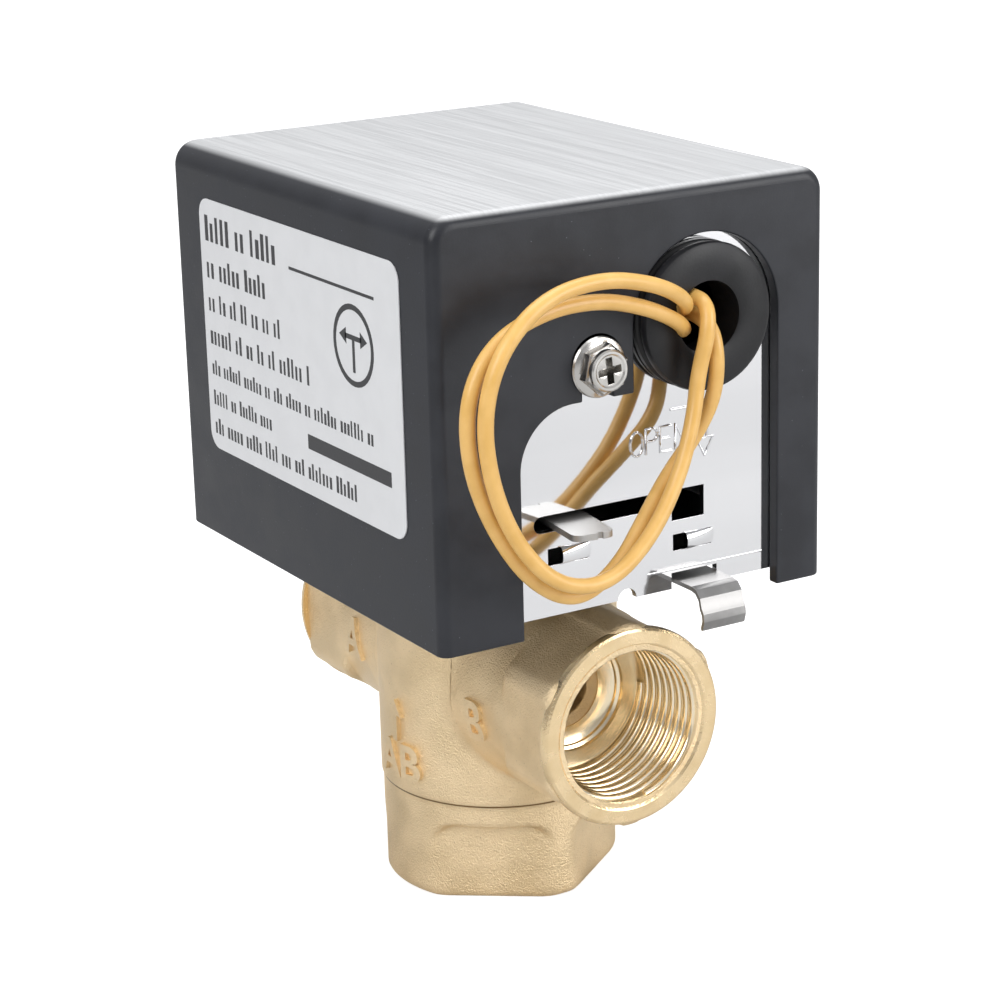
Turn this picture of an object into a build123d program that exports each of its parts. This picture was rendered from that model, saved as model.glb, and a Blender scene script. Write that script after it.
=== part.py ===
from build123d import *
import math
import os

# Three-port diverting zone valve with a motor-driven power head.
# The origin is the centre of the bottom port's face. +Z is up along the body, the run
# from port B to port A lies along +Y, and the stem stands on the -X side of the middle.
# All sizes are millimetres.

# ---- driving dimensions -------------------------------------------------------------
HEAD_WIDTH = 70.0  # cover, along X
HEAD_LENGTH = 86.6  # cover, along Y
HEAD_HEIGHT = 66.0  # cover, along Z
COVER_BOTTOM = 56.0
COVER_WALL = 2.1
COVER_SHOULDER = 4.0  # outer radius along the long top edges

RUN_HEIGHT = 36.8  # axis of the A-B run above the bottom port's face
RUN_HALF = 41.0  # middle to the face of port A or B
THREAD_R = 12.55  # pitch radius of a 3/4 inch pipe thread
THREAD_LENGTH = 15.0
COLLAR_R = 16.3  # outside of ports A and B
BARREL_R = 20.2
BARREL_TOP = 50.0
CHAMBER_R = 14.0
ORIFICE_R = 4.6
BALL_R = 6.5
ARM_REACH = 10.0  # stem axis to ball centre
SWING = 26.0  # degrees from port B shut to port A shut
STEM_R = 2.5
ARM_R = 1.5
STEM_X = -ARM_REACH

FLOOR_Z = 61.2  # underside of the power head's floor
SHEET = 1.2  # steel sheet of the power head
DECK_Z = 80.0  # underside of the motor deck
FRONT_Y = -HEAD_LENGTH / 2 + COVER_WALL + 0.1  # outer face of the bright front plate

SECTOR_Z = 66.2
SECTOR_TEETH = 64
SECTOR_MODULE = 0.7
WHEEL_TEETH = 50
WHEEL_MODULE = 0.5
PINION_TEETH = 12
PRESSURE_ANGLE = math.radians(25)

LEVER_Z = 72.2
LEVER_THICK = 1.0
LEVER_KNEE = (-10.6, -37.0)
LEVER_TIP = (-12.2, -50.0)
LUG_BEARING = -45.0  # direction of the lever's driving lug, degrees
GROMMET_X, GROMMET_Z = 11.9, 101.7
GROMMET_BORE_R = 5.6
SCREW_X, SCREW_Z = -7.0, 96.9
LEAD_R = 1.2
MOTOR_R = 24.0
MOTOR_TOP = 101.2

RUNNING = 0.05  # radial clearance of a turning fit

# ---- places worked out from them ----------------------------------------------------
COVER_TOP = COVER_BOTTOM + HEAD_HEIGHT
FLOOR_TOP = FLOOR_Z + SHEET
DECK_TOP = DECK_Z + SHEET
BALL_TRAVEL = ARM_REACH * math.sin(math.radians(SWING / 2))
SEAT_FACE = BALL_TRAVEL + math.sqrt(BALL_R**2 - ORIFICE_R**2) + 0.26
SECTOR_PITCH_R = SECTOR_TEETH * SECTOR_MODULE / 2
SMALL_PINION_R = PINION_TEETH * SECTOR_MODULE / 2
WHEEL_PITCH_R = WHEEL_TEETH * WHEEL_MODULE / 2
MOTOR_PINION_R = PINION_TEETH * WHEEL_MODULE / 2
TRANSFER_X = STEM_X + SECTOR_PITCH_R + SMALL_PINION_R
TRANSFER_Y = 0.0
MOTOR_BEARING = 140.0  # direction from the transfer arbor to the motor shaft, degrees
MOTOR_X = TRANSFER_X + (WHEEL_PITCH_R + MOTOR_PINION_R) * math.cos(math.radians(MOTOR_BEARING))
MOTOR_Y = TRANSFER_Y + (WHEEL_PITCH_R + MOTOR_PINION_R) * math.sin(math.radians(MOTOR_BEARING))
POSTS = [(x, y) for x in (-26.0, 26.0) for y in (-29.0, 33.0)]

os.makedirs("parts", exist_ok=True)


# ---- small helpers ------------------------------------------------------------------
def save(shape, name):
    """Write one node."""
    export_step(shape, f"parts/{name}.step")


def block(x, y, z):
    """A box between two limits on each axis."""
    size = Box(x[1] - x[0], y[1] - y[0], z[1] - z[0])
    return Pos(sum(x) / 2, sum(y) / 2, sum(z) / 2) * size


def rod_z(x, y, radius, low, high):
    """A round bar along Z."""
    return Pos(x, y, (low + high) / 2) * Cylinder(radius, high - low)


def rod_y(x, z, radius, low, high):
    """A round bar along Y."""
    return Pos(x, (low + high) / 2, z) * Rot(90, 0, 0) * Cylinder(radius, high - low)


def tube_z(x, y, outer, inner, low, high):
    """A round tube along Z."""
    return rod_z(x, y, outer, low, high) - rod_z(x, y, inner, low - 1, high + 1)


def polar(radius, degrees):
    """A point at a radius and a direction."""
    angle = math.radians(degrees)
    return radius * math.cos(angle), radius * math.sin(angle)


def torus_z(x, y, z, radius, thick):
    """A round ring about Z."""
    return Pos(x, y, z) * Torus(radius, thick)


def involute(angle):
    """The involute function."""
    return math.tan(angle) - angle


def gear(module, teeth, thickness, backlash, first=0.0):
    """A spur gear standing on Z = 0 with one tooth centred on the first direction."""
    pitch_r = module * teeth / 2
    base_r = pitch_r * math.cos(PRESSURE_ANGLE)
    tip_r, root_r = pitch_r + 0.8 * module, pitch_r - 1.1 * module
    half = math.pi / (2 * teeth) - backlash / (2 * pitch_r)
    low_r = max(base_r, root_r)
    flank = []
    for step in range(4):
        radius = low_r + (tip_r - low_r) * step / 3
        at_radius = math.acos(min(1.0, base_r / radius))
        flank.append((radius, half + involute(PRESSURE_ANGLE) - involute(at_radius)))
    points = []
    for tooth in range(teeth):
        middle = math.radians(first) + 2 * math.pi * tooth / teeth
        outline = [(root_r, -flank[0][1])] if root_r < low_r - 1e-6 else []
        outline += [(radius, -angle) for radius, angle in flank]
        outline += [(radius, -angle) for radius, angle in reversed(outline)]
        for radius, angle in outline:
            points.append(
                (radius * math.cos(middle + angle), radius * math.sin(middle + angle))
            )
    return extrude(make_face(Polyline(*points, close=True)), thickness)


def hex_bar(across, length):
    """A hexagonal bar along Z, standing on Z = 0."""
    return extrude(RegularPolygon(across / 2, 6, major_radius=False), length)


# ---- brass body ---------------------------------------------------------------------
BONNET_SCREWS = [polar(17.1, degrees) for degrees in (45, 135, 225, 315)]


def valve_body():
    """The casting with its three threaded ports, two seats and the ball's chamber."""
    barrel = rod_z(0, 0, BARREL_R, 0, BARREL_TOP)
    barrel = chamfer(barrel.edges().group_by(Axis.Z)[0], 0.8)
    for side in (-1, 1):
        for bearing in (54, 126):
            flat = Pos(17.1 + 4, 0, 6.7) * Box(8, 30, 13.4)
            flat = fillet(flat.edges().filter_by(Axis.X).group_by(Axis.Z)[-1], 5)
            barrel -= Rot(0, 0, side * bearing) * flat
    body = barrel + rod_y(0, RUN_HEIGHT, 14.6, -RUN_HALF + 4, RUN_HALF - 4)
    flare = Pos(0, 19.5, RUN_HEIGHT) * Rot(-90, 0, 0) * Cone(18.6, 14.6, 13.0)
    body += flare & block((-30, 30), (0, 40), (0, BARREL_TOP))
    body += mirror(flare & block((-30, 30), (0, 40), (0, BARREL_TOP)), Plane.XZ)
    for side in (-1, 1):
        nut = Pos(0, side * (RUN_HALF - 14.5), RUN_HEIGHT) * Rot(-90 * side, 0, 0)
        collar = nut * (Rot(0, 0, 30) * hex_bar(31.2, 14.5) & Cylinder(COLLAR_R, 60))
        ring = rod_y(0, RUN_HEIGHT, COLLAR_R, RUN_HALF - 1.6, RUN_HALF)
        ring = ring if side > 0 else mirror(ring, Plane.XZ)
        body += collar + ring
        rib_y = sorted((side * 20.4, side * (RUN_HALF - 1)))
        body += block((-2.9, 2.9), rib_y, (RUN_HEIGHT + 8, RUN_HEIGHT + 16.2))
    body -= rod_z(0, 0, CHAMBER_R, 25, BARREL_TOP + 1)
    body -= rod_z(0, 0, 19.9, BARREL_TOP, BARREL_TOP + 6)
    for side in (-1, 1):
        seat = rod_y(0, RUN_HEIGHT, 7.5, SEAT_FACE, CHAMBER_R + 3)
        body += seat if side > 0 else mirror(seat, Plane.XZ)
    bores = [
        (THREAD_R, RUN_HALF - THREAD_LENGTH, RUN_HALF + 1),
        (9.6, 23.3, RUN_HALF),
        (ORIFICE_R, SEAT_FACE - 1, RUN_HALF),
    ]
    for radius, low, high in bores:
        bore = rod_y(0, RUN_HEIGHT, radius, low, high)
        body -= bore
        body -= mirror(bore, Plane.XZ)
    body -= rod_z(0, 0, THREAD_R, -1, THREAD_LENGTH)
    body -= rod_z(0, 0, 9.6, THREAD_LENGTH - 1, 26)
    for x, y in BONNET_SCREWS:
        body -= rod_z(x, y, 1.25, 41, BARREL_TOP + 1)
    mouths = body.edges().filter_by(GeomType.CIRCLE)
    mouths = [edge for edge in mouths if abs(edge.radius - THREAD_R) < 0.01]
    mouths = [
        edge
        for edge in mouths
        if abs(abs(edge.center().Y) - RUN_HALF) < 0.1
    ]
    return chamfer(mouths, 0.7)


STEM_RING_Z = (51.9, 54.9)


def bonnet():
    """The round cap over the chamber, with the collar that carries the power head."""
    cap = rod_z(0, 0, CHAMBER_R - 0.1, 46.5, BARREL_TOP)
    cap += rod_z(0, 0, 19.6, BARREL_TOP, 53.5)
    cap += rod_z(0, 0, 17.0, 53.5, FLOOR_Z)
    cap -= tube_z(0, 0, 15.6, 14.25, BARREL_TOP - 1, BARREL_TOP + 1.3)
    cap -= block((-20, 20), (-20, -13.5), (59.0, 60.1))
    cap -= rod_z(STEM_X, 0, 6.6, 57.0, FLOOR_Z + 1)
    cap -= rod_z(STEM_X, 0, STEM_R + RUNNING, 46, 62)
    for low in STEM_RING_Z:
        cap -= tube_z(STEM_X, 0, STEM_R + 1.75, STEM_R, low - 0.9, low + 0.9)
    for x, y in BONNET_SCREWS:
        cap -= rod_z(x, y, 1.6, 49, 54)
        cap -= rod_z(x, y, 3.1, 53.5, FLOOR_Z + 1)
    return cap


def bonnet_screws():
    """Four cheese-head screws that hold the cap down."""
    screws = []
    for x, y in BONNET_SCREWS:
        screw = rod_z(x, y, 1.25, 41.5, 53.5) + rod_z(x, y, 2.7, 53.5, 55.6)
        screws.append(screw - block((x - 3, x + 3), (y - 0.4, y + 0.4), (54.8, 56)))
    return Compound(screws)


def stem():
    """The shaft from the ball's arm up to the drive sleeve, with a flat at its top."""
    shaft = rod_z(STEM_X, 0, STEM_R, 33.0, 71.0)
    shaft = chamfer(shaft.edges().group_by(Axis.Z)[-1], 0.4)
    shaft -= tube_z(STEM_X, 0, 4, 1.9, 45.4, 46.0)
    shaft -= swing_frame(Rot(0, 90, 0) * Cylinder(ARM_R, 20))
    flat = block((STEM_X + 1.8, STEM_X + 4), (-4, 4), (64.0, 72.0))
    return shaft - flat


def swing_frame(shape):
    """Turn a shape made along +X from the stem axis to where it rests."""
    return Pos(STEM_X, 0, RUN_HEIGHT) * Rot(0, 0, -SWING / 2) * shape


def ball_arm():
    """The pin that carries the ball across from the stem."""
    pin = Pos(4.0, 0, 0) * Rot(0, 90, 0) * Cylinder(ARM_R, 14.0)
    collar = Pos(3.0, 0, 0) * Rot(0, 90, 0) * Cylinder(2.2, 0.7)
    return swing_frame(pin + collar)


def valve_ball():
    """The rubber ball that shuts one port at a time."""
    ball = Pos(ARM_REACH, 0, 0) * Sphere(BALL_R)
    ball -= Pos(4.0, 0, 0) * Rot(0, 90, 0) * Cylinder(ARM_R, 14.0)
    return swing_frame(ball)


def stem_clip():
    """The snap ring under the cap that stops the stem from rising."""
    ring = tube_z(STEM_X, 0, 3.6, 1.9, 45.4, 46.0)
    return ring - block((STEM_X + 1, STEM_X + 5), (-0.8, 0.8), (45, 47))


def stem_rings():
    """Two rubber rings that seal the stem."""
    return Compound([torus_z(STEM_X, 0, z, 3.38, 0.8) for z in STEM_RING_Z])


# ---- power head frame ---------------------------------------------------------------
def front_plate():
    """The bright upright plate with its lever slot, lance slots and lead hole."""
    y = (FRONT_Y, FRONT_Y + SHEET)
    cut = (FRONT_Y - 2, FRONT_Y + SHEET + 2)
    plate = block((-32.3, 32.3), y, (58.2, 116.5))
    plate = fillet(plate.edges().filter_by(Axis.Y).group_by(Axis.Z)[-1], 3)
    for x in ((-30, -18), (-5, 3.5), (18, 30)):
        foot = block(x, (FRONT_Y + 0.2, FRONT_Y + 8), (FLOOR_TOP, FLOOR_TOP + SHEET))
        plate += foot - rod_z(sum(x) / 2, FOOT_SCREW_Y, 1.3, 60, 66)
    slot = block((-16.1, 12), cut, (71.6, 74.2)) + rod_y(-16.1, 72.9, 1.3, *cut)
    slot += block((7.6, 13.6), cut, (69.3, 74.2))
    plate -= slot
    plate -= block((7.5, 16.0), cut, (57, 60.8))
    plate -= rod_y(-0.8, 58.2, 1.7, *cut)
    plate -= rod_y(GROMMET_X, GROMMET_Z, 9.2, *cut)
    plate -= rod_y(SCREW_X, SCREW_Z, 2.6, *cut)
    for x, z in ((-15.0, 66.3), (7.8, 64.4)):
        plate -= block((x, x + 7.2), cut, (z, z + 2.6))
        lug = Pos(x + 4.9, FRONT_Y + 0.9, z + 1.3) * Rot(0, 0, 12) * Box(4.4, 0.9, 2.6)
        plate += lug
    return plate


FOOT_SCREW_Y = FRONT_Y + 5.2
FOOT_SCREWS = [(-24.0, FOOT_SCREW_Y), (-0.75, FOOT_SCREW_Y), (24.0, FOOT_SCREW_Y)]


def base_plate():
    """The floor of the power head and its upturned back."""
    floor = block((-32.3, 32.3), (FRONT_Y + SHEET, 40.0), (FLOOR_Z, FLOOR_TOP))
    back = block((-32.3, 32.3), (40.0 - SHEET, 40.0), (FLOOR_TOP, 92.0))
    back = fillet(back.edges().filter_by(Axis.Y).group_by(Axis.Z)[-1], 4)
    plate = floor + back
    plate -= rod_z(STEM_X, 0, 6.5, 60, 64)
    plate -= rod_z(TRANSFER_X, TRANSFER_Y, 1.0, 60, 64)
    for x, y in FOOT_SCREWS + POSTS:
        plate -= rod_z(x, y, 1.3, 60, 64)
    for x, y in LATCH_STUDS:
        plate -= rod_z(x, y, 1.2, 60, 64)
    plate -= rod_z(*SPRING_POST, 1.2, 60, 64)
    plate -= block((-12, 12), (38, 42), (74, 84))
    return plate


def motor_deck():
    """The upper sheet that carries the motor on four posts."""
    deck = block((-29.5, 29.5), (-34.5, 36.5), (DECK_Z, DECK_TOP))
    deck = fillet(deck.edges().filter_by(Axis.Z), 4)
    deck -= rod_z(MOTOR_X, MOTOR_Y, 6.0, 79, 82)
    deck -= rod_z(TRANSFER_X, TRANSFER_Y, 1.0, 79, 82)
    for x, y in POSTS:
        deck -= rod_z(x, y, 1.5, 79, 82)
    for x, y in MOTOR_EARS:
        deck -= rod_z(x, y, 1.5, 79, 82)
    return deck


def deck_posts():
    """Four turned posts between the floor and the deck."""
    posts = []
    for x, y in POSTS:
        posts.append(tube_z(x, y, 2.6, 1.25, FLOOR_TOP, DECK_Z))
    return Compound(posts)


def floor_screws():
    """Pan-head screws under the floor, into the posts and the plate's feet."""
    screws = []
    for x, y in POSTS:
        screws.append(rod_z(x, y, 1.25, FLOOR_Z, FLOOR_Z + 8) + rod_z(x, y, 2.5, 59.6, FLOOR_Z))
    for x, y in FOOT_SCREWS:
        screw = rod_z(x, y, 1.25, FLOOR_Z, FLOOR_TOP + 2) + rod_z(x, y, 2.5, 59.0, FLOOR_Z)
        screws.append(screw - block((x - 3, x + 3), (y - 0.35, y + 0.35), (58, 59.7)))
    return Compound(screws)


def deck_screws():
    """Pan-head screws over the deck, into the posts."""
    screws = []
    for x, y in POSTS:
        screw = rod_z(x, y, 1.25, DECK_Z - 6, DECK_TOP) + rod_z(x, y, 2.5, DECK_TOP, 82.8)
        screws.append(screw - block((x - 3, x + 3), (y - 0.35, y + 0.35), (82.1, 84)))
    return Compound(screws)


# ---- latch --------------------------------------------------------------------------
LATCH_STUDS = [(-7.0, -24.0), (12.0, -24.0)]
LATCH_X = (7.8, 15.7)
LATCH_THICK = 0.7


def latch_clip():
    """The spring-steel strip that hooks into the collar and ends in a finger curl."""
    low, high = 59.2, 59.2 + LATCH_THICK
    blade = block((-11.5, LATCH_X[1]), (-28.0, -14.0), (low, high))
    strip = block(LATCH_X, (-46.6, -27.9), (low, high))
    for x, y in LATCH_STUDS:
        blade -= block((x - 1.6, x + 1.6), (y - 1.7, y + 5.5), (58, 61))
    spine = Polyline(
        (-46.5, 59.55), (-48.2, 59.3), (-49.5, 58.3), (-50.0, 56.9),
        (-50.7, 56.1), (-50.9, 55.0), (-50.4, 53.8),
    )
    curl = offset(spine, LATCH_THICK / 2, side=Side.BOTH)
    curl = Plane.YZ * make_face(curl)
    curl = Pos(LATCH_X[0], 0, 0) * extrude(curl, LATCH_X[1] - LATCH_X[0])
    return blade + strip + curl


def latch_studs():
    """Two shouldered studs that guide the latch under the floor."""
    studs = []
    for x, y in LATCH_STUDS:
        stud = rod_z(x, y, 1.2, 60.5, FLOOR_TOP + 0.5) + rod_z(x, y, 2.3, FLOOR_TOP, 63.2)
        stud += rod_z(x, y, 2.6, 60.0, FLOOR_Z) + rod_z(x, y, 1.5, 58.8, 60.1)
        stud += rod_z(x, y, 2.6, 58.3, 59.1)
        studs.append(stud)
    return Compound(studs)


# ---- drive --------------------------------------------------------------------------
def hub_bushing():
    """The flanged bearing in the floor for the drive sleeve."""
    bush = rod_z(STEM_X, 0, 6.5, 60.6, FLOOR_TOP) + rod_z(STEM_X, 0, 7.6, FLOOR_TOP, 63.0)
    return bush - rod_z(STEM_X, 0, 4.5 + RUNNING, 60, 64)


def drive_sleeve():
    """The sleeve that turns the stem and carries the sector and the lever."""
    sleeve = rod_z(STEM_X, 0, 4.5, 60.4, 65.4) + rod_z(STEM_X, 0, 6.2, 65.4, SECTOR_Z)
    sleeve += rod_z(STEM_X, 0, 4.5, SECTOR_Z, 71.9) + rod_z(STEM_X, 0, 3.4, 71.9, 75.2)
    sleeve -= tube_z(STEM_X, 0, 5, 2.7, 73.6, 74.2)
    socket = rod_z(STEM_X, 0, STEM_R, 60, 71.0)
    socket -= block((STEM_X + 1.8, STEM_X + 4), (-4, 4), (64.0, 72.0))
    return sleeve - socket


def sector_gear():
    """The toothed sector riveted to the sleeve, with its drive peg for the spring."""
    toothed = gear(SECTOR_MODULE, SECTOR_TEETH, 2.0, 0.14)
    corners = [(0, 0), polar(40, -36.5), polar(50, -14), polar(40, 8.0)]
    wedge = extrude(make_face(Polyline(*corners, close=True)), 2.0)
    sector = (toothed & wedge) + Cylinder(9.0, 2.0, align=(Align.CENTER, Align.CENTER, Align.MIN))
    sector = Pos(STEM_X, 0, SECTOR_Z) * sector
    peg_x, peg_y = polar(8.1, SPRING_BEARING)
    sector -= rod_z(STEM_X, 0, 4.5, 60, 70)
    sector += rod_z(STEM_X + peg_x, peg_y, 0.8, 64.2, SECTOR_Z + 0.5)
    window_x, window_y = polar(14.5, -14)
    return sector - rod_z(STEM_X + window_x, window_y, 2.6, 60, 70)


SPRING_BEARING = 200.0
SPRING_POST = (-18.0, -14.0)


def spring_post():
    """The pin in the floor that holds the fixed leg of the return spring."""
    x, y = SPRING_POST
    return rod_z(x, y, 1.2, FLOOR_Z - 0.4, FLOOR_TOP) + rod_z(x, y, 1.5, FLOOR_TOP, 69.0)


def return_spring():
    """The torsion spring around the sleeve that swings the ball back onto port B's seat."""
    wire, coil_r, turns, low = 0.35, 6.6, 2, 63.5
    turn = Pos(STEM_X, 0, low) * Rot(0, 0, 180)
    coil = turn * Helix(pitch=0.85, height=0.85 * turns, radius=coil_r)
    post_x, post_y = SPRING_POST
    fixed = Line(coil @ 0, Vector(post_x - 2.4, post_y - 1.5, low))
    free = Line(coil @ 1, coil @ 1 + Vector(-1.7, -0.4, 0.2))
    spring = None
    for line in (coil, fixed, free):
        bar = sweep(Plane(line @ 0, z_dir=line % 0) * Circle(wire), path=line)
        spring = bar if spring is None else spring + bar
    return spring


def flat_bar(start, end, width, low, high):
    """A flat bar between two points in plan, with square ends."""
    start, end = Vector(*start), Vector(*end)
    along = end - start
    across = Vector(-along.Y, along.X).normalized() * (width / 2)
    outline = Polyline(start + across, end + across, end - across, start - across, close=True)
    return Pos(0, 0, low) * extrude(make_face(outline), high - low)


def manual_lever():
    """The flat steel lever whose tab stands out through the slot in the front plate."""
    z = (LEVER_Z, LEVER_Z + LEVER_THICK)
    tab = flat_bar(LEVER_KNEE, LEVER_TIP, 6.8, *z)
    tips = tab.edges().filter_by(Axis.Z).sort_by(Axis.Y)[:2]
    lever = fillet(tips, 1.5) + flat_bar((STEM_X, 0), LEVER_KNEE, 6.8, *z)
    lever += rod_z(STEM_X, 0, 6.4, *z) + rod_z(*LEVER_KNEE, 3.4, *z)
    ear_x, ear_y = polar(11.5, LUG_BEARING)
    lever += flat_bar((STEM_X, 0), (STEM_X + ear_x, ear_y), 3.0, *z)
    lug = Rot(0, 0, LUG_BEARING) * Pos(11.0, 0, 0) * Box(1.0, 2.4, z[1] - SECTOR_Z)
    lever += Pos(STEM_X, 0, (z[1] + SECTOR_Z) / 2) * lug
    lever -= rod_z(STEM_X, 0, 3.4 + RUNNING, 70, 80)
    return lever - rod_z(LEVER_TIP[0] + 0.9, LEVER_TIP[1], 0.45, 70, 74)


def lever_clip():
    """The snap ring that keeps the lever on the sleeve."""
    ring = tube_z(STEM_X, 0, 4.6, 2.7, 73.6, 74.2)
    return ring - block((STEM_X + 1.5, STEM_X + 6), (-1.0, 1.0), (73, 75))


def transfer_arbor():
    """The fixed pin on which the transfer gear turns."""
    return rod_z(TRANSFER_X, TRANSFER_Y, 1.0, FLOOR_Z, DECK_TOP)


def transfer_pinion():
    """The small steel gear that meshes with the sector."""
    pinion = gear(SECTOR_MODULE, PINION_TEETH, 3.4, 0.14, first=180.0 + 15.0)
    pinion += Pos(0, 0, 1.7 + 3.4) * Cylinder(2.2, 3.4)
    return Pos(TRANSFER_X, TRANSFER_Y, 65.5) * (pinion - Cylinder(1.0 + RUNNING, 40))


def transfer_wheel():
    """The large moulded gear pressed on the transfer pinion."""
    wheel = gear(WHEEL_MODULE, WHEEL_TEETH, 1.5, 0.10, first=MOTOR_BEARING)
    wheel += Cylinder(4.2, 2.4, align=(Align.CENTER, Align.CENTER, Align.MIN))
    wheel -= Cylinder(2.2, 20)
    for hole in range(6):
        x, y = polar(7.6, 60 * hole + 30)
        wheel -= Pos(x, y, 0) * Cylinder(1.9, 10)
    return Pos(TRANSFER_X, TRANSFER_Y, 69.6) * wheel


def motor_pinion():
    """The brass gear on the end of the motor shaft."""
    pinion = gear(WHEEL_MODULE, PINION_TEETH, 3.0, 0.10, first=MOTOR_BEARING + 180 + 15)
    pinion += Pos(0, 0, 3.75) * Cylinder(2.0, 1.5)
    return Pos(MOTOR_X, MOTOR_Y, 69.0) * (pinion - Cylinder(1.0, 20))


# ---- motor --------------------------------------------------------------------------
MOTOR_EARS = [
    (MOTOR_X + polar(27.6, degrees)[0], MOTOR_Y + polar(27.6, degrees)[1])
    for degrees in (-120, 60)
]
CAN_WALL = 0.8


def motor_can():
    """The drawn steel can with two screw ears."""
    can = rod_z(MOTOR_X, MOTOR_Y, MOTOR_R, DECK_TOP, MOTOR_TOP)
    can = fillet(can.edges().group_by(Axis.Z)[-1], 1.6)
    for x, y in MOTOR_EARS:
        dx, dy = x - MOTOR_X, y - MOTOR_Y
        ear = extrude(SlotCenterPoint((dx * 0.8, dy * 0.8), (dx, dy), 7.0), 1.0)
        can += Pos(MOTOR_X, MOTOR_Y, DECK_TOP) * ear
    can -= rod_z(MOTOR_X, MOTOR_Y, MOTOR_R - CAN_WALL, DECK_TOP - 1, MOTOR_TOP - CAN_WALL)
    for x, y in MOTOR_EARS:
        can -= rod_z(x, y, 1.5, 80, 84)
    return can - rod_z(MOTOR_X, MOTOR_Y, 2.6, 95, 105)


def motor_end_plate():
    """The disc that closes the can at the bottom and holds the lower bearing."""
    plate = rod_z(MOTOR_X, MOTOR_Y, MOTOR_R - CAN_WALL, DECK_TOP, DECK_TOP + 1.0)
    return plate - rod_z(MOTOR_X, MOTOR_Y, 2.6, 80, 84)


def motor_bearings():
    """The bronze bearings at each end of the shaft."""
    low = tube_z(MOTOR_X, MOTOR_Y, 2.6, 1.0 + RUNNING, DECK_TOP - 0.2, DECK_TOP + 2.2)
    high = tube_z(MOTOR_X, MOTOR_Y, 2.6, 1.0 + RUNNING, MOTOR_TOP - 2.4, MOTOR_TOP)
    return Compound([low, high])


def coil_bobbin():
    """The moulded spool inside the can."""
    spool = rod_z(MOTOR_X, MOTOR_Y, 22.8, 83.0, 84.2) + rod_z(MOTOR_X, MOTOR_Y, 22.8, 97.8, 99.0)
    spool += rod_z(MOTOR_X, MOTOR_Y, 12.2, 84.0, 98.0)
    return spool - rod_z(MOTOR_X, MOTOR_Y, 11.0, 80, 104)


def coil_winding():
    """The copper winding on the spool."""
    return tube_z(MOTOR_X, MOTOR_Y, 21.6, 12.2, 84.2, 97.8)


def stator_cups():
    """Two pressed claw-pole cups, whose fingers interleave around the rotor."""
    cups = []
    for up, turn in ((True, 0.0), (False, 18.0)):
        z = (97.8, 98.8) if up else (83.2, 84.2)
        cup = tube_z(0, 0, 10.9, 8.6, *z)
        for finger in range(10):
            tooth = Pos(9.6, 0, 91.0) * Box(1.0, 2.4, 13.0)
            reach = Pos(9.6, 0, 97.6 if up else 84.4) * Box(1.0, 2.4, 1.2)
            cup += Rot(0, 0, turn + 36 * finger) * (tooth + reach)
        cups.append(Pos(MOTOR_X, MOTOR_Y, 0) * cup)
    return Compound(cups)


def rotor_magnet():
    """The ferrite ring around the rotor's hub."""
    return tube_z(MOTOR_X, MOTOR_Y, 8.3, 4.0, 84.6, 97.4)


def rotor_hub():
    """The moulded hub between the magnet and the shaft."""
    return tube_z(MOTOR_X, MOTOR_Y, 4.0, 1.0, 84.0, 98.0)


def motor_shaft():
    """The steel shaft through the motor."""
    shaft = rod_z(MOTOR_X, MOTOR_Y, 1.0, 68.6, MOTOR_TOP + 0.3)
    return chamfer(shaft.edges().group_by(Axis.Z)[0], 0.25)


def motor_screws():
    """Two screws through the can's ears."""
    screws = []
    for x, y in MOTOR_EARS:
        screw = rod_z(x, y, 1.5, DECK_Z - 1.5, DECK_TOP + 1.0)
        screw += rod_z(x, y, 2.7, DECK_TOP + 1.0, DECK_TOP + 2.8)
        screws.append(screw - block((x - 3, x + 3), (y - 0.4, y + 0.4), (83.1, 85)))
    return Compound(screws)


def lead_anchor():
    """The moulded block on top of the can where the leads meet the coil."""
    anchor = block((3.0, 13.0), (-12.0, -3.0), (MOTOR_TOP, 107.4))
    top = anchor.edges().filter_by(Axis.Y).group_by(Axis.Z)[-1]
    return fillet(top, 1.2)


# ---- leads --------------------------------------------------------------------------
def tube_along(points, name):
    """A round lead: straight runs joined by tangent arcs as large as the runs allow."""
    radii = []
    for before, corner, after in zip(points, points[1:], points[2:]):
        run_in, run_out = corner - before, after - corner
        turn = math.radians(run_in.get_angle(run_out))
        radii.append(0.45 * min(run_in.length, run_out.length) / math.tan(turn / 2))
    path = FilletPolyline(*points, radius=radii)
    tube = sweep(Plane(path @ 0, z_dir=path % 0) * Circle(LEAD_R), path=path)
    wanted = math.pi * LEAD_R**2 * path.length
    print(name, "length", round(path.length, 1), "volume ratio", round(tube.volume / wanted, 4))
    print(name, "radii", [round(radius, 1) for radius in radii])
    return tube


LEAD_1 = [
    Vector(6.0, -12.0, 104.2), Vector(6.0, -20.0, 104.2), Vector(7.6, -28.5, 104.8),
    Vector(9.4, -37.0, 105.2), Vector(9.7, -43.6, 105.2), Vector(9.6, -47.8, 104.7),
    Vector(8.1, -50.4, 101.2), Vector(6.1, -50.6, 95.0), Vector(3.3, -53.2, 88.8),
    Vector(-0.5, -55.0, 80.9), Vector(-6.1, -55.4, 72.7), Vector(-13.6, -55.4, 66.9),
    Vector(-21.5, -54.5, 67.9), Vector(-27.7, -53.6, 74.8), Vector(-31.8, -53.4, 84.5),
    Vector(-33.0, -53.4, 95.2), Vector(-29.9, -53.8, 104.6), Vector(-21.6, -52.6, 110.7),
    Vector(-10.8, -51.1, 111.7), Vector(-1.6, -50.2, 109.6), Vector(4.2, -49.2, 106.7),
    Vector(7.1, -46.4, 104.0), Vector(7.7, -41.3, 102.8), Vector(7.6, -35.4, 102.4),
    Vector(6.4, -29.0, 101.2), Vector(4.6, -23.4, 99.2),
]
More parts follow.
